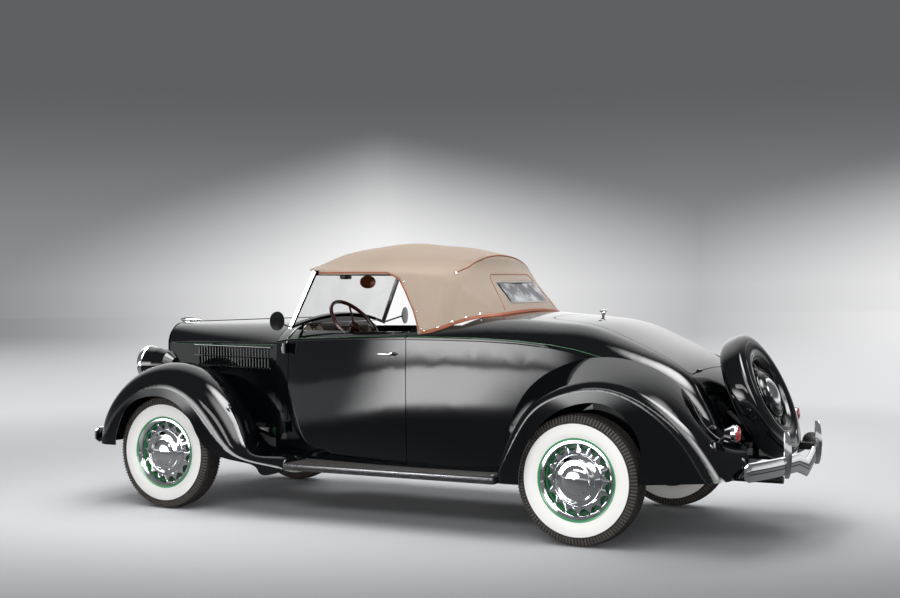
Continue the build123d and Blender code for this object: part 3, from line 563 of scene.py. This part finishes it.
bm = bmesh.new()
bm.from_mesh(frame["nodes"]["canvas_top"].data)
bmesh.ops.remove_doubles(bm, verts=bm.verts, dist=1e-5)
for _ in range(6):
    long_edges = [e for e in bm.edges if e.calc_length() > 0.03]
    if not long_edges:
        break
    bmesh.ops.subdivide_edges(bm, edges=long_edges, cuts=1)
    bmesh.ops.triangulate(bm, faces=bm.faces)
bow_places, bow_sag, drape = (-0.56, -0.17, 0.19, 0.53), 0.007, 0.0022
back_shape = ((0.25, 0.25, 0.0), (0.53, 0.395, 0.047), (0.618, 0.525, 0.0), (0.72, 0.665, 0.0))


def pulled(y, z):
    """The taut rear panel: where a drawn point goes when the back is pulled in below the last bow."""
    for (y0, to0, rise0), (y1, to1, rise1) in zip(back_shape, back_shape[1:]):
        if y0 < y <= y1:
            share = (y - y0) / (y1 - y0)
            high = min(max((z - 1.40) / 0.12, 0.0), 1.0)
            return to0 + (to1 - to0) * share, z + (rise0 + (rise1 - rise0) * share) * high
    return y, z


for vert in bm.verts:
    x, y, z = vert.co
    out = Vector((x, 0.0, max(z - 1.2, 0.0))).normalized()
    roof = min(max((z - 1.45) / 0.1, 0.0), 1.0)
    for front, rear in zip(bow_places, bow_places[1:]):
        if front < y < rear:
            share = (y - front) / (rear - front)
            vert.co.z -= bow_sag * roof * sin(pi * share) ** 2
    side = min(max((1.46 - z) / 0.12, 0.0), 1.0) * min(max((z - 1.14) / 0.06, 0.0), 1.0)
    ripple = sin(38.0 * y + 9.0 * z + 0.8) * 0.6 + sin(17.0 * y - 14.0 * z) * 0.9
    if y < 0.62:
        vert.co += out * drape * side * ripple
    vert.co.y, vert.co.z = pulled(vert.co.y, vert.co.z)
bmesh.ops.recalc_face_normals(bm, faces=bm.faces)
canvas_skin = BVHTree.FromBMesh(bm)
canvas_piece = piece("canvas_roof", bm, (canvas_cloth,), "root", ("canvas_top",), crease=50.0)


def laid(tree, guides, inward):
    """Where trim lies: each guide point is pushed along inward until it meets the skin."""
    found = []
    for guide in guides:
        start = Vector(guide) - Vector(inward) * 0.5
        spot, normal, _, _ = tree.ray_cast(start, Vector(inward))
        if spot is not None:
            found.append((spot, normal if normal.dot(Vector(inward)) < 0 else -normal))
    return found


def swept(bm, frames):
    """Draws a line of points from one place to the next; frames lists those points at each place."""
    corners = [bm.verts.new(p) for p in frames[0]]
    row = [bm.edges.new(pair) for pair in zip(corners, corners[1:])]
    for places in frames[1:]:
        made = bmesh.ops.extrude_edge_only(bm, edges=row)["geom"]
        fresh = {v for v in made if isinstance(v, bmesh.types.BMVert)}
        corners = [next(e.other_vert(v) for e in v.link_edges if e.other_vert(v) in fresh) for v in corners]
        for corner, goal in zip(corners, places):
            corner.co = goal
        pairs = zip(corners, corners[1:])
        row = [next(e for e in first.link_edges if second in e.verts) for first, second in pairs]


def moulding(bm, stations, profile):
    """Draws an open profile, (across, proud) pairs, along stations on a surface."""
    frames = []
    for count, (spot, normal) in enumerate(stations):
        before = stations[max(count - 1, 0)][0]
        after = stations[min(count + 1, len(stations) - 1)][0]
        across = (after - before).cross(normal).normalized()
        frames.append([spot + across * a + normal * h for a, h in profile])
    if len(frames) > 1:
        swept(bm, frames)


def finer(points, step):
    """The same guide line with a point every step."""
    made = []
    for first, second in zip(points, points[1:]):
        first, second = Vector(first), Vector(second)
        count = max(int((second - first).length / step), 1)
        made += [first.lerp(second, i / count) for i in range(count)]
    return made + [Vector(points[-1])]


def rounded(half, proud, sunk=0.001):
    """A low round section, half as wide as half on each side, standing proud of the skin."""
    return [(-half, -sunk), (-half * 0.75, proud * 0.65), (0.0, proud), (half * 0.75, proud * 0.65),
            (half, -sunk)]


edge_line = [(-0.60, 1.481), (-0.30, 1.480), (-0.05, 1.477), (0.035, 1.442), (0.088, 1.368), (0.152, 1.256),
             (0.194, 1.160), (0.204, 1.136)]
bm = bmesh.new()
for side in (1, -1):
    guides = finer([(side * 0.6, y, z) for y, z in edge_line], 0.015)
    moulding(bm, laid(canvas_skin, guides, (-side, 0, 0)), rounded(0.005, 0.003))
    seam = finer([(side * 0.530, 0.350, 1.50), (side * 0.47, 0.372, 1.52), (side * 0.42, 0.388, 1.54),
                  (side * 0.30, 0.396, 1.56), (0.0, 0.396, 1.58)], 0.015)
    down_in = Vector((-side * 0.35, -0.1, -0.93)).normalized()
    moulding(bm, laid(canvas_skin, seam, down_in), rounded(0.004, 0.0035))
    flap = finer([(0.0, 0.6, 1.463), (side * 0.245, 0.6, 1.463), (side * 0.270, 0.6, 1.452),
                  (side * 0.285, 0.6, 1.425), (side * 0.355, 0.7, 1.250)], 0.015)
    moulding(bm, laid(canvas_skin, flap, (0, -1, 0)), rounded(0.003, 0.0025))


def hem_point(turned, above):
    """A place on the canvas above its lower edge, looked for from a turn about the car's middle."""
    inward = Vector((-cos(turned), -sin(turned), 0.0))
    middle = Vector((0.0, 0.05, 0.0))
    high, low = 1.29, 1.08
    for _ in range(12):
        z = (high + low) / 2
        met, _, _, run = canvas_skin.ray_cast(middle - inward * 2.0 + Vector((0, 0, z)), inward)
        high, low = (z, low) if met is not None and run < 1.9 else (high, z)
    start = middle - inward * 2.0 + Vector((0, 0, high + above))
    spot, normal, _, _ = canvas_skin.ray_cast(start, inward)
    return spot, normal if normal.dot(inward) < 0 else -normal


for side in (1, -1):
    turns = [radians(13.5 + step * 76.5 / 72) for step in range(73)]
    stations = [hem_point(turned if side > 0 else pi - turned, 0.011) for turned in turns]
    moulding(bm, stations, rounded(0.011, 0.0025))
bmesh.ops.recalc_face_normals(bm, faces=bm.faces)
canvas_binding = piece("canvas_binding", bm, (binding,), "root")


# The rear window: a clear vinyl pane sewn into the flap behind a silvery
# stitched frame.
vinyl = Finish("clear_vinyl", 0.12, IOR=1.45)
haze = vinyl.noise(9.0, 3.0)
vinyl.set("Base Color", vinyl.mix(vinyl.spread(haze, 0.35, 0.65), tone(120, 125, 132), tone(214, 218, 224)))
vinyl.set("Alpha", vinyl.spread(haze, 0.35, 0.65, 0.6, 0.85))
silver_edge = worn("window_edge", tone(150, 148, 144), tone(178, 176, 172), 0.4, 30.0, 0.4)
bm = bmesh.new()
pane_half, pane_low, pane_high = 0.252, 1.300, 1.411
rows = [(pane_low, 0.590), (pane_high, 0.503)]
swept(bm, [[(x, y, z) for z, y in rows] for x in (-pane_half, -0.12, 0.0, 0.12, pane_half)])
piece("rear_window", bm, (vinyl,), "root")
bm = bmesh.new()
for side in (1, -1):
    around = finer([(0.0, 0.7, pane_high + 0.006), (side * 0.25, 0.7, pane_high + 0.006),
                    (side * 0.258, 0.7, pane_high - 0.004), (side * 0.258, 0.7, pane_low + 0.004),
                    (side * 0.25, 0.7, pane_low - 0.006), (0.0, 0.7, pane_low - 0.006)], 0.012)
    moulding(bm, laid(canvas_skin, around, (0, -1, 0)), rounded(0.006, 0.0022))
bmesh.ops.recalc_face_normals(bm, faces=bm.faces)
piece("rear_window_edge", bm, (silver_edge,), "root")


# The belt line: a bead pressed along the body from the radiator to the tail,
# with a thin green line painted on it.
line_green = worn("line_green", tone(40, 120, 76), tone(54, 138, 90), 0.2, 20.0, Coat_Weight=0.8)
belt = ((-0.905, 1.053), (-0.79, 1.068), (-0.33, 1.086), (0.125, 1.096), (0.35, 1.0945), (0.6, 1.090),
        (0.82, 1.078), (1.01, 1.058), (1.16, 1.031), (1.3, 0.992), (1.42, 0.950), (1.54, 0.893),
        (1.64, 0.835), (1.725, 0.765), (1.80, 0.706), (1.87, 0.650))


def belt_height(y):
    for (y0, z0), (y1, z1) in zip(belt, belt[1:]):
        if y0 <= y <= y1:
            return z0 + (z1 - z0) * (y - y0) / (y1 - y0)


for part, node, body, first, last in (("cowl", "cowl", "root", -0.903, -0.799),
                                      ("door", "door", None, -0.788, 0.118),
                                      ("tub", "rear_body", "root", 0.130, 1.80)):
    for side, word in ((1, "left"), (-1, "right")):
        own = node if body else node + "_" + word
        skin = skin_of(own)
        steps = max(int((last - first) / 0.03), 3)
        ys = [first + (last - first) * i / steps for i in range(steps + 1)]
        for name, lift, profile, finish in (("bead", 0.0, rounded(0.010, 0.0035), lacquer),
                                            ("line", 0.0105, rounded(0.0014, 0.0016), line_green)):
            guides = [(side * 0.9, y, belt_height(y) + lift) for y in ys]
            bm = bmesh.new()
            moulding(bm, laid(skin, guides, (-side, 0, 0)), profile)
            bmesh.ops.recalc_face_normals(bm, faces=bm.faces)
            piece("belt_" + name + "_" + part + "_" + word, bm, (finish,), body or own)


# The hood sides: pressed louvres crossed by three plated strips, and the green
# line above them.
hood_skin = skin_of("hood_sides")
bm = bmesh.new()
lines = bmesh.new()
strips = bmesh.new()
louvre_first, louvre_pitch, louvre_count = -1.700, 0.0295, 25
louvre_section = ((-0.010, 0.0), (-0.004, 0.004), (0.002, 0.0075), (0.004, 0.007), (0.004, 0.0))
for side in (1, -1):
    for count in range(louvre_count):
        y = louvre_first + count * louvre_pitch
        guides = [(side * 0.8, y, z) for z in (0.884, 0.890, 0.92, 0.95, 0.98, 1.008, 1.014)]
        found = laid(hood_skin, guides, (-side, 0, 0))
        frames = []
        for step, (spot, normal) in enumerate(found):
            rise = 0.0 if step in (0, len(found) - 1) else 1.0
            frames.append([spot + Vector((0, back * side, 0)) + normal * (proud * rise - 0.0005)
                           for back, proud in louvre_section])
        swept(bm, frames)
    for z in (1.0165, 0.949, 0.8815):
        guides = finer([(side * 0.8, -1.745, z), (side * 0.8, -0.958, z)], 0.05)
        moulding(strips, laid(hood_skin, guides, (-side, 0, 0)), rounded(0.0045, 0.011, 0.0))
    guides = finer([(side * 0.8, -2.02, 1.0150), (side * 0.8, -0.915, 1.0370)], 0.05)
    moulding(lines, laid(hood_skin, guides, (-side, 0, 0)), rounded(0.0014, 0.0016))
for part in (bm, strips, lines):
    bmesh.ops.recalc_face_normals(part, faces=part.faces)
piece("hood_louvres", bm, (lacquer,), "root")
piece("hood_strips", strips, (plating,), "root")
piece("hood_line", lines, (line_green,), "root")


# The bumpers: spring-steel blades with two black grooves, which dip to a V in
# the middle, each with two guards, and a black rubber step pad at the rear.
groove_black = worn("groove_black", tone(16, 17, 20), tone(26, 27, 30), 0.4, 20.0)


def box_part(size, place, soft=0.002):
    part = bmesh.new()
    bmesh.ops.create_cube(part, size=1.0)
    bmesh.ops.scale(part, verts=part.verts, vec=size)
    bmesh.ops.bevel(part, geom=part.edges[:], offset=min(soft, min(size) * 0.4), segments=2, profile=0.5,
                    affect="EDGES", material=-1)
    bmesh.ops.translate(part, verts=part.verts, vec=place)
    return part


blade_profile = [(-0.044, -0.010), (-0.050, -0.004), (-0.046, 0.003), (-0.028, 0.008), (-0.0115, 0.0095),
                 (-0.0110, 0.0060), (-0.0070, 0.0060), (-0.0065, 0.0098), (0.0065, 0.0098), (0.0070, 0.0060),
                 (0.0110, 0.0060), (0.0115, 0.0095), (0.028, 0.008), (0.046, 0.003), (0.050, -0.004),
                 (0.044, -0.010)]


bar_half, bar_height, dip_half, guard_out = 0.715, 0.432, 0.17, 0.33


def blade(bm, way, front_y, sweep, dip):
    """A curved bar across the car. way is 1 at the rear and -1 in front."""
    frames = []
    for count in range(49):
        x = bar_half * (count / 24 - 1)
        y = front_y - way * sweep * (x / bar_half) ** 2
        low = dip * max(1.0 - abs(x) / dip_half, 0.0)
        end = min((bar_half - abs(x)) / 0.03, 1.0)
        height = 0.62 + 0.38 * sqrt(max(end, 0.0))
        z = bar_height - low
        frames.append([(x, y + way * out * height, z + up * height) for up, out in blade_profile])
    swept(bm, [frame + [frame[0]] for frame in frames])
    bmesh.ops.remove_doubles(bm, verts=bm.verts, dist=1e-6)
    bmesh.ops.holes_fill(bm, edges=bm.edges, sides=20)
    bmesh.ops.recalc_face_normals(bm, faces=bm.faces)
    for face in bm.faces:
        middle = face.calc_center_median()
        if len(face.verts) == 4 and way * (middle.y - front_y) > -sweep * (middle.x / bar_half) ** 2 + 0.0055:
            level = middle.z - bar_height + dip * max(1.0 - abs(middle.x) / dip_half, 0.0)
            face.material_index = 1 if 0.0066 < abs(level) < 0.0114 else 0


def guard(bm, way, x, y, low, high, stand):
    """An upright over-rider that swells in the middle and stands proud of the blade."""
    frames = []
    for count in range(17):
        share = count / 16
        z = low + (high - low) * share
        full = sqrt(max(1.0 - (2 * share - 1) ** 2 * 0.92, 0.0))
        half, deep = 0.004 + 0.010 * full, stand * (0.25 + 0.75 * full)
        frames.append([(x - half, y - way * 0.006, z), (x - half, y + way * deep * 0.35, z),
                       (x - half * 0.45, y + way * deep * 0.85, z), (x, y + way * deep, z),
                       (x + half * 0.45, y + way * deep * 0.85, z), (x + half, y + way * deep * 0.35, z),
                       (x + half, y - way * 0.006, z), (x - half, y - way * 0.006, z)])
    swept(bm, frames)
    bmesh.ops.remove_doubles(bm, verts=bm.verts, dist=1e-6)
    bmesh.ops.holes_fill(bm, edges=bm.edges, sides=12)


bars = (
    ("rear", 1, 2.258, 0.134, 0.045, 0.366, 0.612, 0.032),
    ("front", -1, -2.276, 0.030, 0.020, 0.372, 0.560, 0.026),
)
for name, way, blade_y, sweep, dip, low, high, stand in bars:
    bm = bmesh.new()
    blade(bm, way, blade_y, sweep, dip)
    guards = bmesh.new()
    for side in (1, -1):
        x = side * guard_out
        guard(guards, way, x, blade_y - way * sweep * (x / bar_half) ** 2, low, high, stand)
    bmesh.ops.recalc_face_normals(guards, faces=guards.faces)
    join(bm, guards)
    for side in (1, -1):
        first, last = (1.8003, 2.215) if way > 0 else (-2.262, -2.0303)
        z = 0.382 if way > 0 else 0.450
        join(bm, box_part((0.024, last - first, 0.020), (side * 0.352, (first + last) / 2, z)), slot=1)
    piece(name + "_bumper_blade", bm, (plating, groove_black), "root", (name + "_bumper",))
bm = box_part((0.20, 0.10, 0.042), (-0.50, 2.150, 0.455), 0.006)
dome = bmesh.new()
bmesh.ops.create_uvsphere(dome, u_segments=32, v_segments=16, radius=0.052)
bmesh.ops.bisect_plane(dome, geom=dome.verts[:] + dome.edges[:] + dome.faces[:], plane_co=(0, 0, 0),
                       plane_no=(0, 0, 1), clear_inner=True)
bmesh.ops.holes_fill(dome, edges=dome.edges, sides=64)
join(bm, dome, Matrix.Translation((-0.50, 2.160, 0.4755)))
piece("step_pad", bm, (rubber_black,), "root")


# Lamps: black bullet headlamps with plated rims and clear lenses, and small
# tail lamps with red lenses.
lens_clear = worn("lamp_lens", tone(206, 210, 212), tone(228, 230, 232), 0.12, 40.0, grain=(90.0, 0.001, 0.5))
lens_red = worn("red_lens", tone(176, 12, 16), tone(206, 22, 24), 0.12, 30.0, grain=(160.0, 0.0008, 0.4),
                Coat_Weight=1.0)
ahead_turn = Matrix.Rotation(-pi / 2, 4, "Z")
astern_turn = Matrix.Rotation(pi / 2, 4, "Z")
rim = [(-0.034, 0.1145), (-0.030, 0.119), (-0.012, 0.1205), (0.002, 0.118), (0.008, 0.112), (0.006, 0.104),
       (-0.002, 0.103), (-0.004, 0.111), (-0.030, 0.1125)]
glass_line = [(0.004, 0.105), (0.009, 0.096), (0.015, 0.070), (0.0185, 0.035), (0.0195, 0.0001)]
tail_line = [(0.008, 0.0395), (0.013, 0.037), (0.018, 0.026), (0.0205, 0.012), (0.021, 0.0001)]
rims, lenses, tails = bmesh.new(), bmesh.new(), bmesh.new()
for side in (1, -1):
    for target, line, closed, steps, turn_to, place in (
            (rims, rim, True, 72, ahead_turn, (side * 0.5, -1.968, 0.896)),
            (lenses, glass_line, False, 64, ahead_turn, (side * 0.5, -1.968, 0.896)),
            (tails, tail_line, False, 40, astern_turn, (side * 0.6, 2.046, 0.620))):
        part = bmesh.new()
        spun(part, line, steps, closed)
        join(target, part, Matrix.Translation(place) @ turn_to)
piece("headlamp_rims", rims, (plating,), "root")
piece("headlamp_lenses", lenses, (lens_clear,), "root")
piece("tail_lenses", tails, (lens_red,), "root")


# Running boards: ribbed rubber mats with a bright edge strip and a small
# plated knob at the rear.
mat, edging = bmesh.new(), bmesh.new()
for side in (1, -1):
    for count in range(12):
        x = 0.620 + count * 0.0188
        join(mat, box_part((0.009, 1.352, 0.006), (side * x, 0.062, 0.3485), 0.0025))
    join(edging, box_part((0.005, 1.396, 0.016), (side * 0.8535, 0.062, 0.337), 0.002))
    knob = bmesh.new()
    bmesh.ops.create_icosphere(knob, subdivisions=3, radius=0.012)
    join(edging, knob, Matrix.Translation((side * 0.838, 0.750, 0.356)) @ Matrix.Diagonal((1, 1, 0.8, 1)))
rib_grey = worn("rib_rubber", tone(58, 57, 56), tone(76, 75, 73), 0.42, 14.0, grain=(240.0, 0.0004, 0.4))
piece("board_ribs", mat, (rib_grey,), "root")
alloy = worn("board_edge", tone(120, 120, 122), tone(150, 150, 152), 0.3, 20.0, 0.8)
piece("board_edges", edging, (alloy,), "root")


# Small plated fittings: door handles, the rumble lid's T handle, the hood
# ornament, windshield feet, snap studs and the inside mirror.
def knob_part(radius, length, place, turn_to, neck):
    """A turned stud: neck, shoulder and domed head, standing out along its own X."""
    part = bmesh.new()
    spun(part, [(-0.004, radius * neck), (length * 0.45, radius * neck), (length * 0.6, radius * 0.95),
                (length * 0.75, radius), (length * 0.92, radius * 0.7), (length, 0.0001)], 24, False)
    bmesh.ops.transform(part, matrix=Matrix.Translation(place) @ turn_to, verts=part.verts)
    return part


def facing(normal):
    """The turn that points a part's own X along a normal."""
    return Vector(normal).to_track_quat("X", "Z").to_matrix().to_4x4()


def stud(bm, tree, guide, inward, radius=0.0065, length=0.007):
    """A snap stud where the guide point meets the skin."""
    for spot, normal in laid(tree, [guide], inward):
        join(bm, knob_part(radius, length, spot, facing(normal), 0.8))


for side, word in ((1, "left"), (-1, "right")):
    door_skin = skin_of("door_" + word)
    bm = bmesh.new()
    (spot, normal), = laid(door_skin, [(side * 0.9, 0.030, 1.002)], (-side, 0, 0))
    join(bm, knob_part(0.012, 0.034, spot, facing(normal), 0.7))
    lever = [(0.018, 0.0), (0.0165, 0.006), (0.010, 0.0085), (-0.03, 0.0095), (-0.075, 0.0085),
             (-0.098, 0.006), (-0.106, 0.0001)]
    grip = bmesh.new()
    spun(grip, [(-y, r) for y, r in lever], 20, False)
    bmesh.ops.scale(grip, verts=grip.verts, vec=(0.9, 0.6, 0.7))
    place = Matrix.Translation(spot + normal * 0.034) @ Matrix.Rotation(-pi / 2, 4, "Z")
    join(bm, grip, place)
    for y in (-0.70, -0.36, 0.02):
        stud(bm, door_skin, (side * 0.9, y, 1.1205), (-side, 0, 0))
    piece("door_fittings_" + word, bm, (plating,), "door_" + word)

bm = bmesh.new()
join(bm, knob_part(0.013, 0.046, (0.0, 1.065, 1.198), facing((0, 0.1, 1)), 0.6))
bar = bmesh.new()
spun(bar, [(-0.050, 0.0001), (-0.048, 0.006), (-0.042, 0.0075), (-0.018, 0.0055), (0.0, 0.0085),
           (0.018, 0.0055), (0.042, 0.0075), (0.048, 0.006), (0.050, 0.0001)], 20, False)
join(bm, bar, Matrix.Translation((0.0, 1.069, 1.243)))
piece("rumble_handle", bm, (plating,), "rumble_lid")

bm = bmesh.new()
wing = bmesh.new()
spun(wing, [(-0.075, 0.0001), (-0.060, 0.009), (-0.03, 0.015), (0.0, 0.017), (0.05, 0.013), (0.10, 0.006),
            (0.125, 0.0001)], 24, False)
bmesh.ops.scale(wing, verts=wing.verts, vec=(1, 0.55, 1.1))
join(bm, wing, Matrix.Translation((0.0, -2.045, 1.176)) @ Matrix.Rotation(pi / 2, 4, "Z"))
join(bm, box_part((0.016, 0.07, 0.022), (0.0, -2.060, 1.158), 0.004))
canvas_studs = [(15.5, 0.020), (22.0, 0.020), (28.5, 0.022), (35.0, 0.022), (42.0, 0.024)]
cowl_skin = skin_of("cowl")
for side in (1, -1):
    for degrees, above in canvas_studs:
        spot, normal = hem_point(radians(degrees if side > 0 else 180 - degrees), above)
        join(bm, knob_part(0.0075, 0.007, spot, facing(normal), 0.8))
    stud(bm, canvas_skin, (side * 0.6, 0.354, 1.470), (-side, 0, 0), 0.008)
    for y, z in ((0.060, 1.425), (0.165, 1.250), (0.205, 1.150)):
        stud(bm, canvas_skin, (side * 0.9, y + 0.012, z), (-side, 0, 0), 0.0055)
    foot = [(side * 0.9, y, z) for y, z in ((-0.806, 1.135), (-0.812, 1.080), (-0.806, 1.002))]
    moulding(bm, laid(cowl_skin, finer(foot, 0.02), (-side, 0, 0)), rounded(0.009, 0.007))
piece("body_fittings", bm, (plating,), "root")

mirror_back = worn("mirror_face", tone(112, 58, 30), tone(142, 78, 42), 0.18, 30.0, 0.5)
bm = bmesh.new()
oval = bmesh.new()
spun(oval, [(-0.006, 0.0001), (-0.006, 0.052), (-0.003, 0.058), (0.004, 0.058), (0.007, 0.050),
            (0.007, 0.0001)], 48, False)
bmesh.ops.scale(oval, verts=oval.verts, vec=(1, 1.25, 0.72))
join(bm, oval, Matrix.Translation((0.0, -0.566, 1.425)) @ Matrix.Rotation(radians(80), 4, "Z"))
join(bm, box_part((0.008, 0.010, 0.060), (0.0, -0.580, 1.470), 0.002), slot=1)
join(bm, box_part((0.075, 0.050, 0.038), (0.20, -0.605, 1.462), 0.010), slot=1)
piece("inside_mirror", bm, (mirror_back, groove_black), "root")


# The windshield: a flat pane of clear glass in a black inner frame, held
# between two plated posts that are screwed to the cowl.
frame_metal = Finish("windshield_metal", 0.08)
spot = frame_metal.place()
side_reach = frame_metal.sum_of("ABSOLUTE", frame_metal.axis(spot, "X"), 0.0)
post = (side_reach + frame_metal.axis(spot, "Z") * 0.112) > 0.681
patches = frame_metal.noise(6.0)
bright = frame_metal.mix(patches, tone(222, 224, 226), tone(236, 237, 238))
frame_metal.set("Base Color", frame_metal.mix(post, tone(14, 14, 16), bright)).set("Metallic", post)
frame_metal.set("Roughness", frame_metal.spread(patches, 0.3, 0.7, 0.05, 0.1))
dress(frame_metal, "windshield_frame")
clear_glass = Finish("clear_glass", 0.02, IOR=1.5)
dust = clear_glass.noise(5.0)
clear_glass.set("Base Color", clear_glass.mix(dust, tone(196, 206, 210), tone(214, 222, 226)))
clear_glass.set("Alpha", clear_glass.spread(dust, 0.3, 0.7, 0.14, 0.18))
dress(clear_glass, "windshield_glass")


# The dashboard and steering wheel: a dark brown enamelled panel with a plated
# lower strip and two plain dials, and a moulded wheel with three spokes.
wheel_brown = worn("moulded_brown", tone(46, 18, 14), tone(62, 25, 18), 0.22, 9.0, Coat_Weight=0.6)
dress(wheel_brown, "steering_wheel")
panel_brown = worn("panel_brown", tone(52, 34, 26), tone(64, 42, 32), 0.25, 7.0, Coat_Weight=0.5)
dress(panel_brown, "dashboard")
dial_face = worn("dial_face", tone(206, 196, 172), tone(220, 211, 190), 0.4, 40.0)
bm = bmesh.new()
for x, radius in ((0.270, 0.052), (0.395, 0.052), (-0.330, 0.030)):
    ring, face = bmesh.new(), bmesh.new()
    spun(ring, [(-0.002, radius), (0.006, radius + 0.001), (0.009, radius - 0.003), (0.007, radius - 0.006),
                (-0.002, radius - 0.006)], 40)
    spun(face, [(-0.002, radius - 0.004), (0.002, radius - 0.005), (0.003, 0.0001)], 40, False)
    place = Matrix.Translation((x, -0.7695, 1.105)) @ astern_turn
    join(bm, ring, place)
    join(bm, face, place, 1)
join(bm, box_part((0.86, 0.006, 0.007), (0.0, -0.768, 1.022), 0.002))
join(bm, box_part((0.86, 0.006, 0.007), (0.0, -0.768, 1.166), 0.002))
piece("dials", bm, (plating, dial_face), "root")


# Seats: brown leather over springs, in pleats that run front to back, for the
# cabin and for the rumble seat, whose back rides on its lid.
hide = worn("brown_leather", tone(94, 46, 30), tone(116, 60, 40), 0.42, 9.0, grain=(150.0, 0.0008, 0.45))


def cushion(node, body, inset, cap, across, facing_way, pitch):
    """Swells a CAD cushion with a short cloth simulation, then presses its pleats in."""
    source = frame["nodes"][node].data
    bm = bmesh.new()
    bm.from_mesh(source)
    low, high = (Vector(map(how, zip(*[v.co for v in bm.verts]))) for how in (min, max))
    centre = (low + high) / 2
    for vert in bm.verts:
        for axis in range(3):
            size = high[axis] - low[axis]
            vert.co[axis] = centre[axis] + (vert.co[axis] - centre[axis]) * (size - 2 * inset) / size
    mesh = bpy.data.meshes.new("cushion")
    bm.to_mesh(mesh)
    bm.free()
    holder = bpy.data.objects.new("cushion", mesh)
    scene.collection.objects.link(holder)
    grid = holder.modifiers.new("grid", "REMESH")
    grid.mode = "VOXEL"
    grid.voxel_size = 0.012
    even = bpy.data.meshes.new_from_object(holder.evaluated_get(bpy.context.evaluated_depsgraph_get()))
    holder.modifiers.clear()
    holder.data = even
    cloth = holder.modifiers.new("cloth", "CLOTH")
    cloth.settings.use_pressure = True
    cloth.settings.uniform_pressure_force = 4.0
    cloth.settings.effector_weights.gravity = 0.0
    cloth.point_cache.frame_start, cloth.point_cache.frame_end = 1, 20
    for step in range(1, 21):
        scene.frame_set(step)
    swollen = bpy.data.meshes.new_from_object(holder.evaluated_get(bpy.context.evaluated_depsgraph_get()))
    for before, after in zip(even.vertices, swollen.vertices):
        move = after.co - before.co
        before.co += move.normalized() * min(move.length, cap)
    scene.frame_set(1)
    bpy.data.objects.remove(holder)
    bm = bmesh.new()
    bm.from_mesh(even)
    pleat_depth = 0.009
    bmesh.ops.smooth_vert(bm, verts=bm.verts, factor=0.5, use_axis_x=True, use_axis_y=True, use_axis_z=True)
    bmesh.ops.subdivide_edges(bm, edges=bm.edges, cuts=1, use_grid_fill=True)
    bm.normal_update()
    count = round((high[across] - low[across]) / pitch)
    for vert in bm.verts:
        faced = max(vert.normal.dot(Vector(facing_way)), 0.0)
        share = (vert.co[across] - low[across]) / (high[across] - low[across]) * count
        rim_away = min(min(share, count - share) * 2.0, 1.0)
        dip = 1.0 - abs(sin(pi * share)) ** 0.5
        vert.co -= Vector(facing_way) * pleat_depth * dip * faced * max(rim_away, 0.0)
    made = piece(node + "_cover", bm, (hide,), body, (node,))


cushion("seat_cushion", "root", 0.008, 0.010, 0, (0, 0, 1), 0.085)
cushion("seat_back", "root", 0.008, 0.010, 0, (0, -1, 0.2), 0.085)
cushion("rumble_cushion", "root", 0.008, 0.008, 0, (0, 0, 1), 0.085)
cushion("rumble_back", "rumble_lid", 0.008, 0.006, 0, (0, -0.4, -0.9), 0.085)
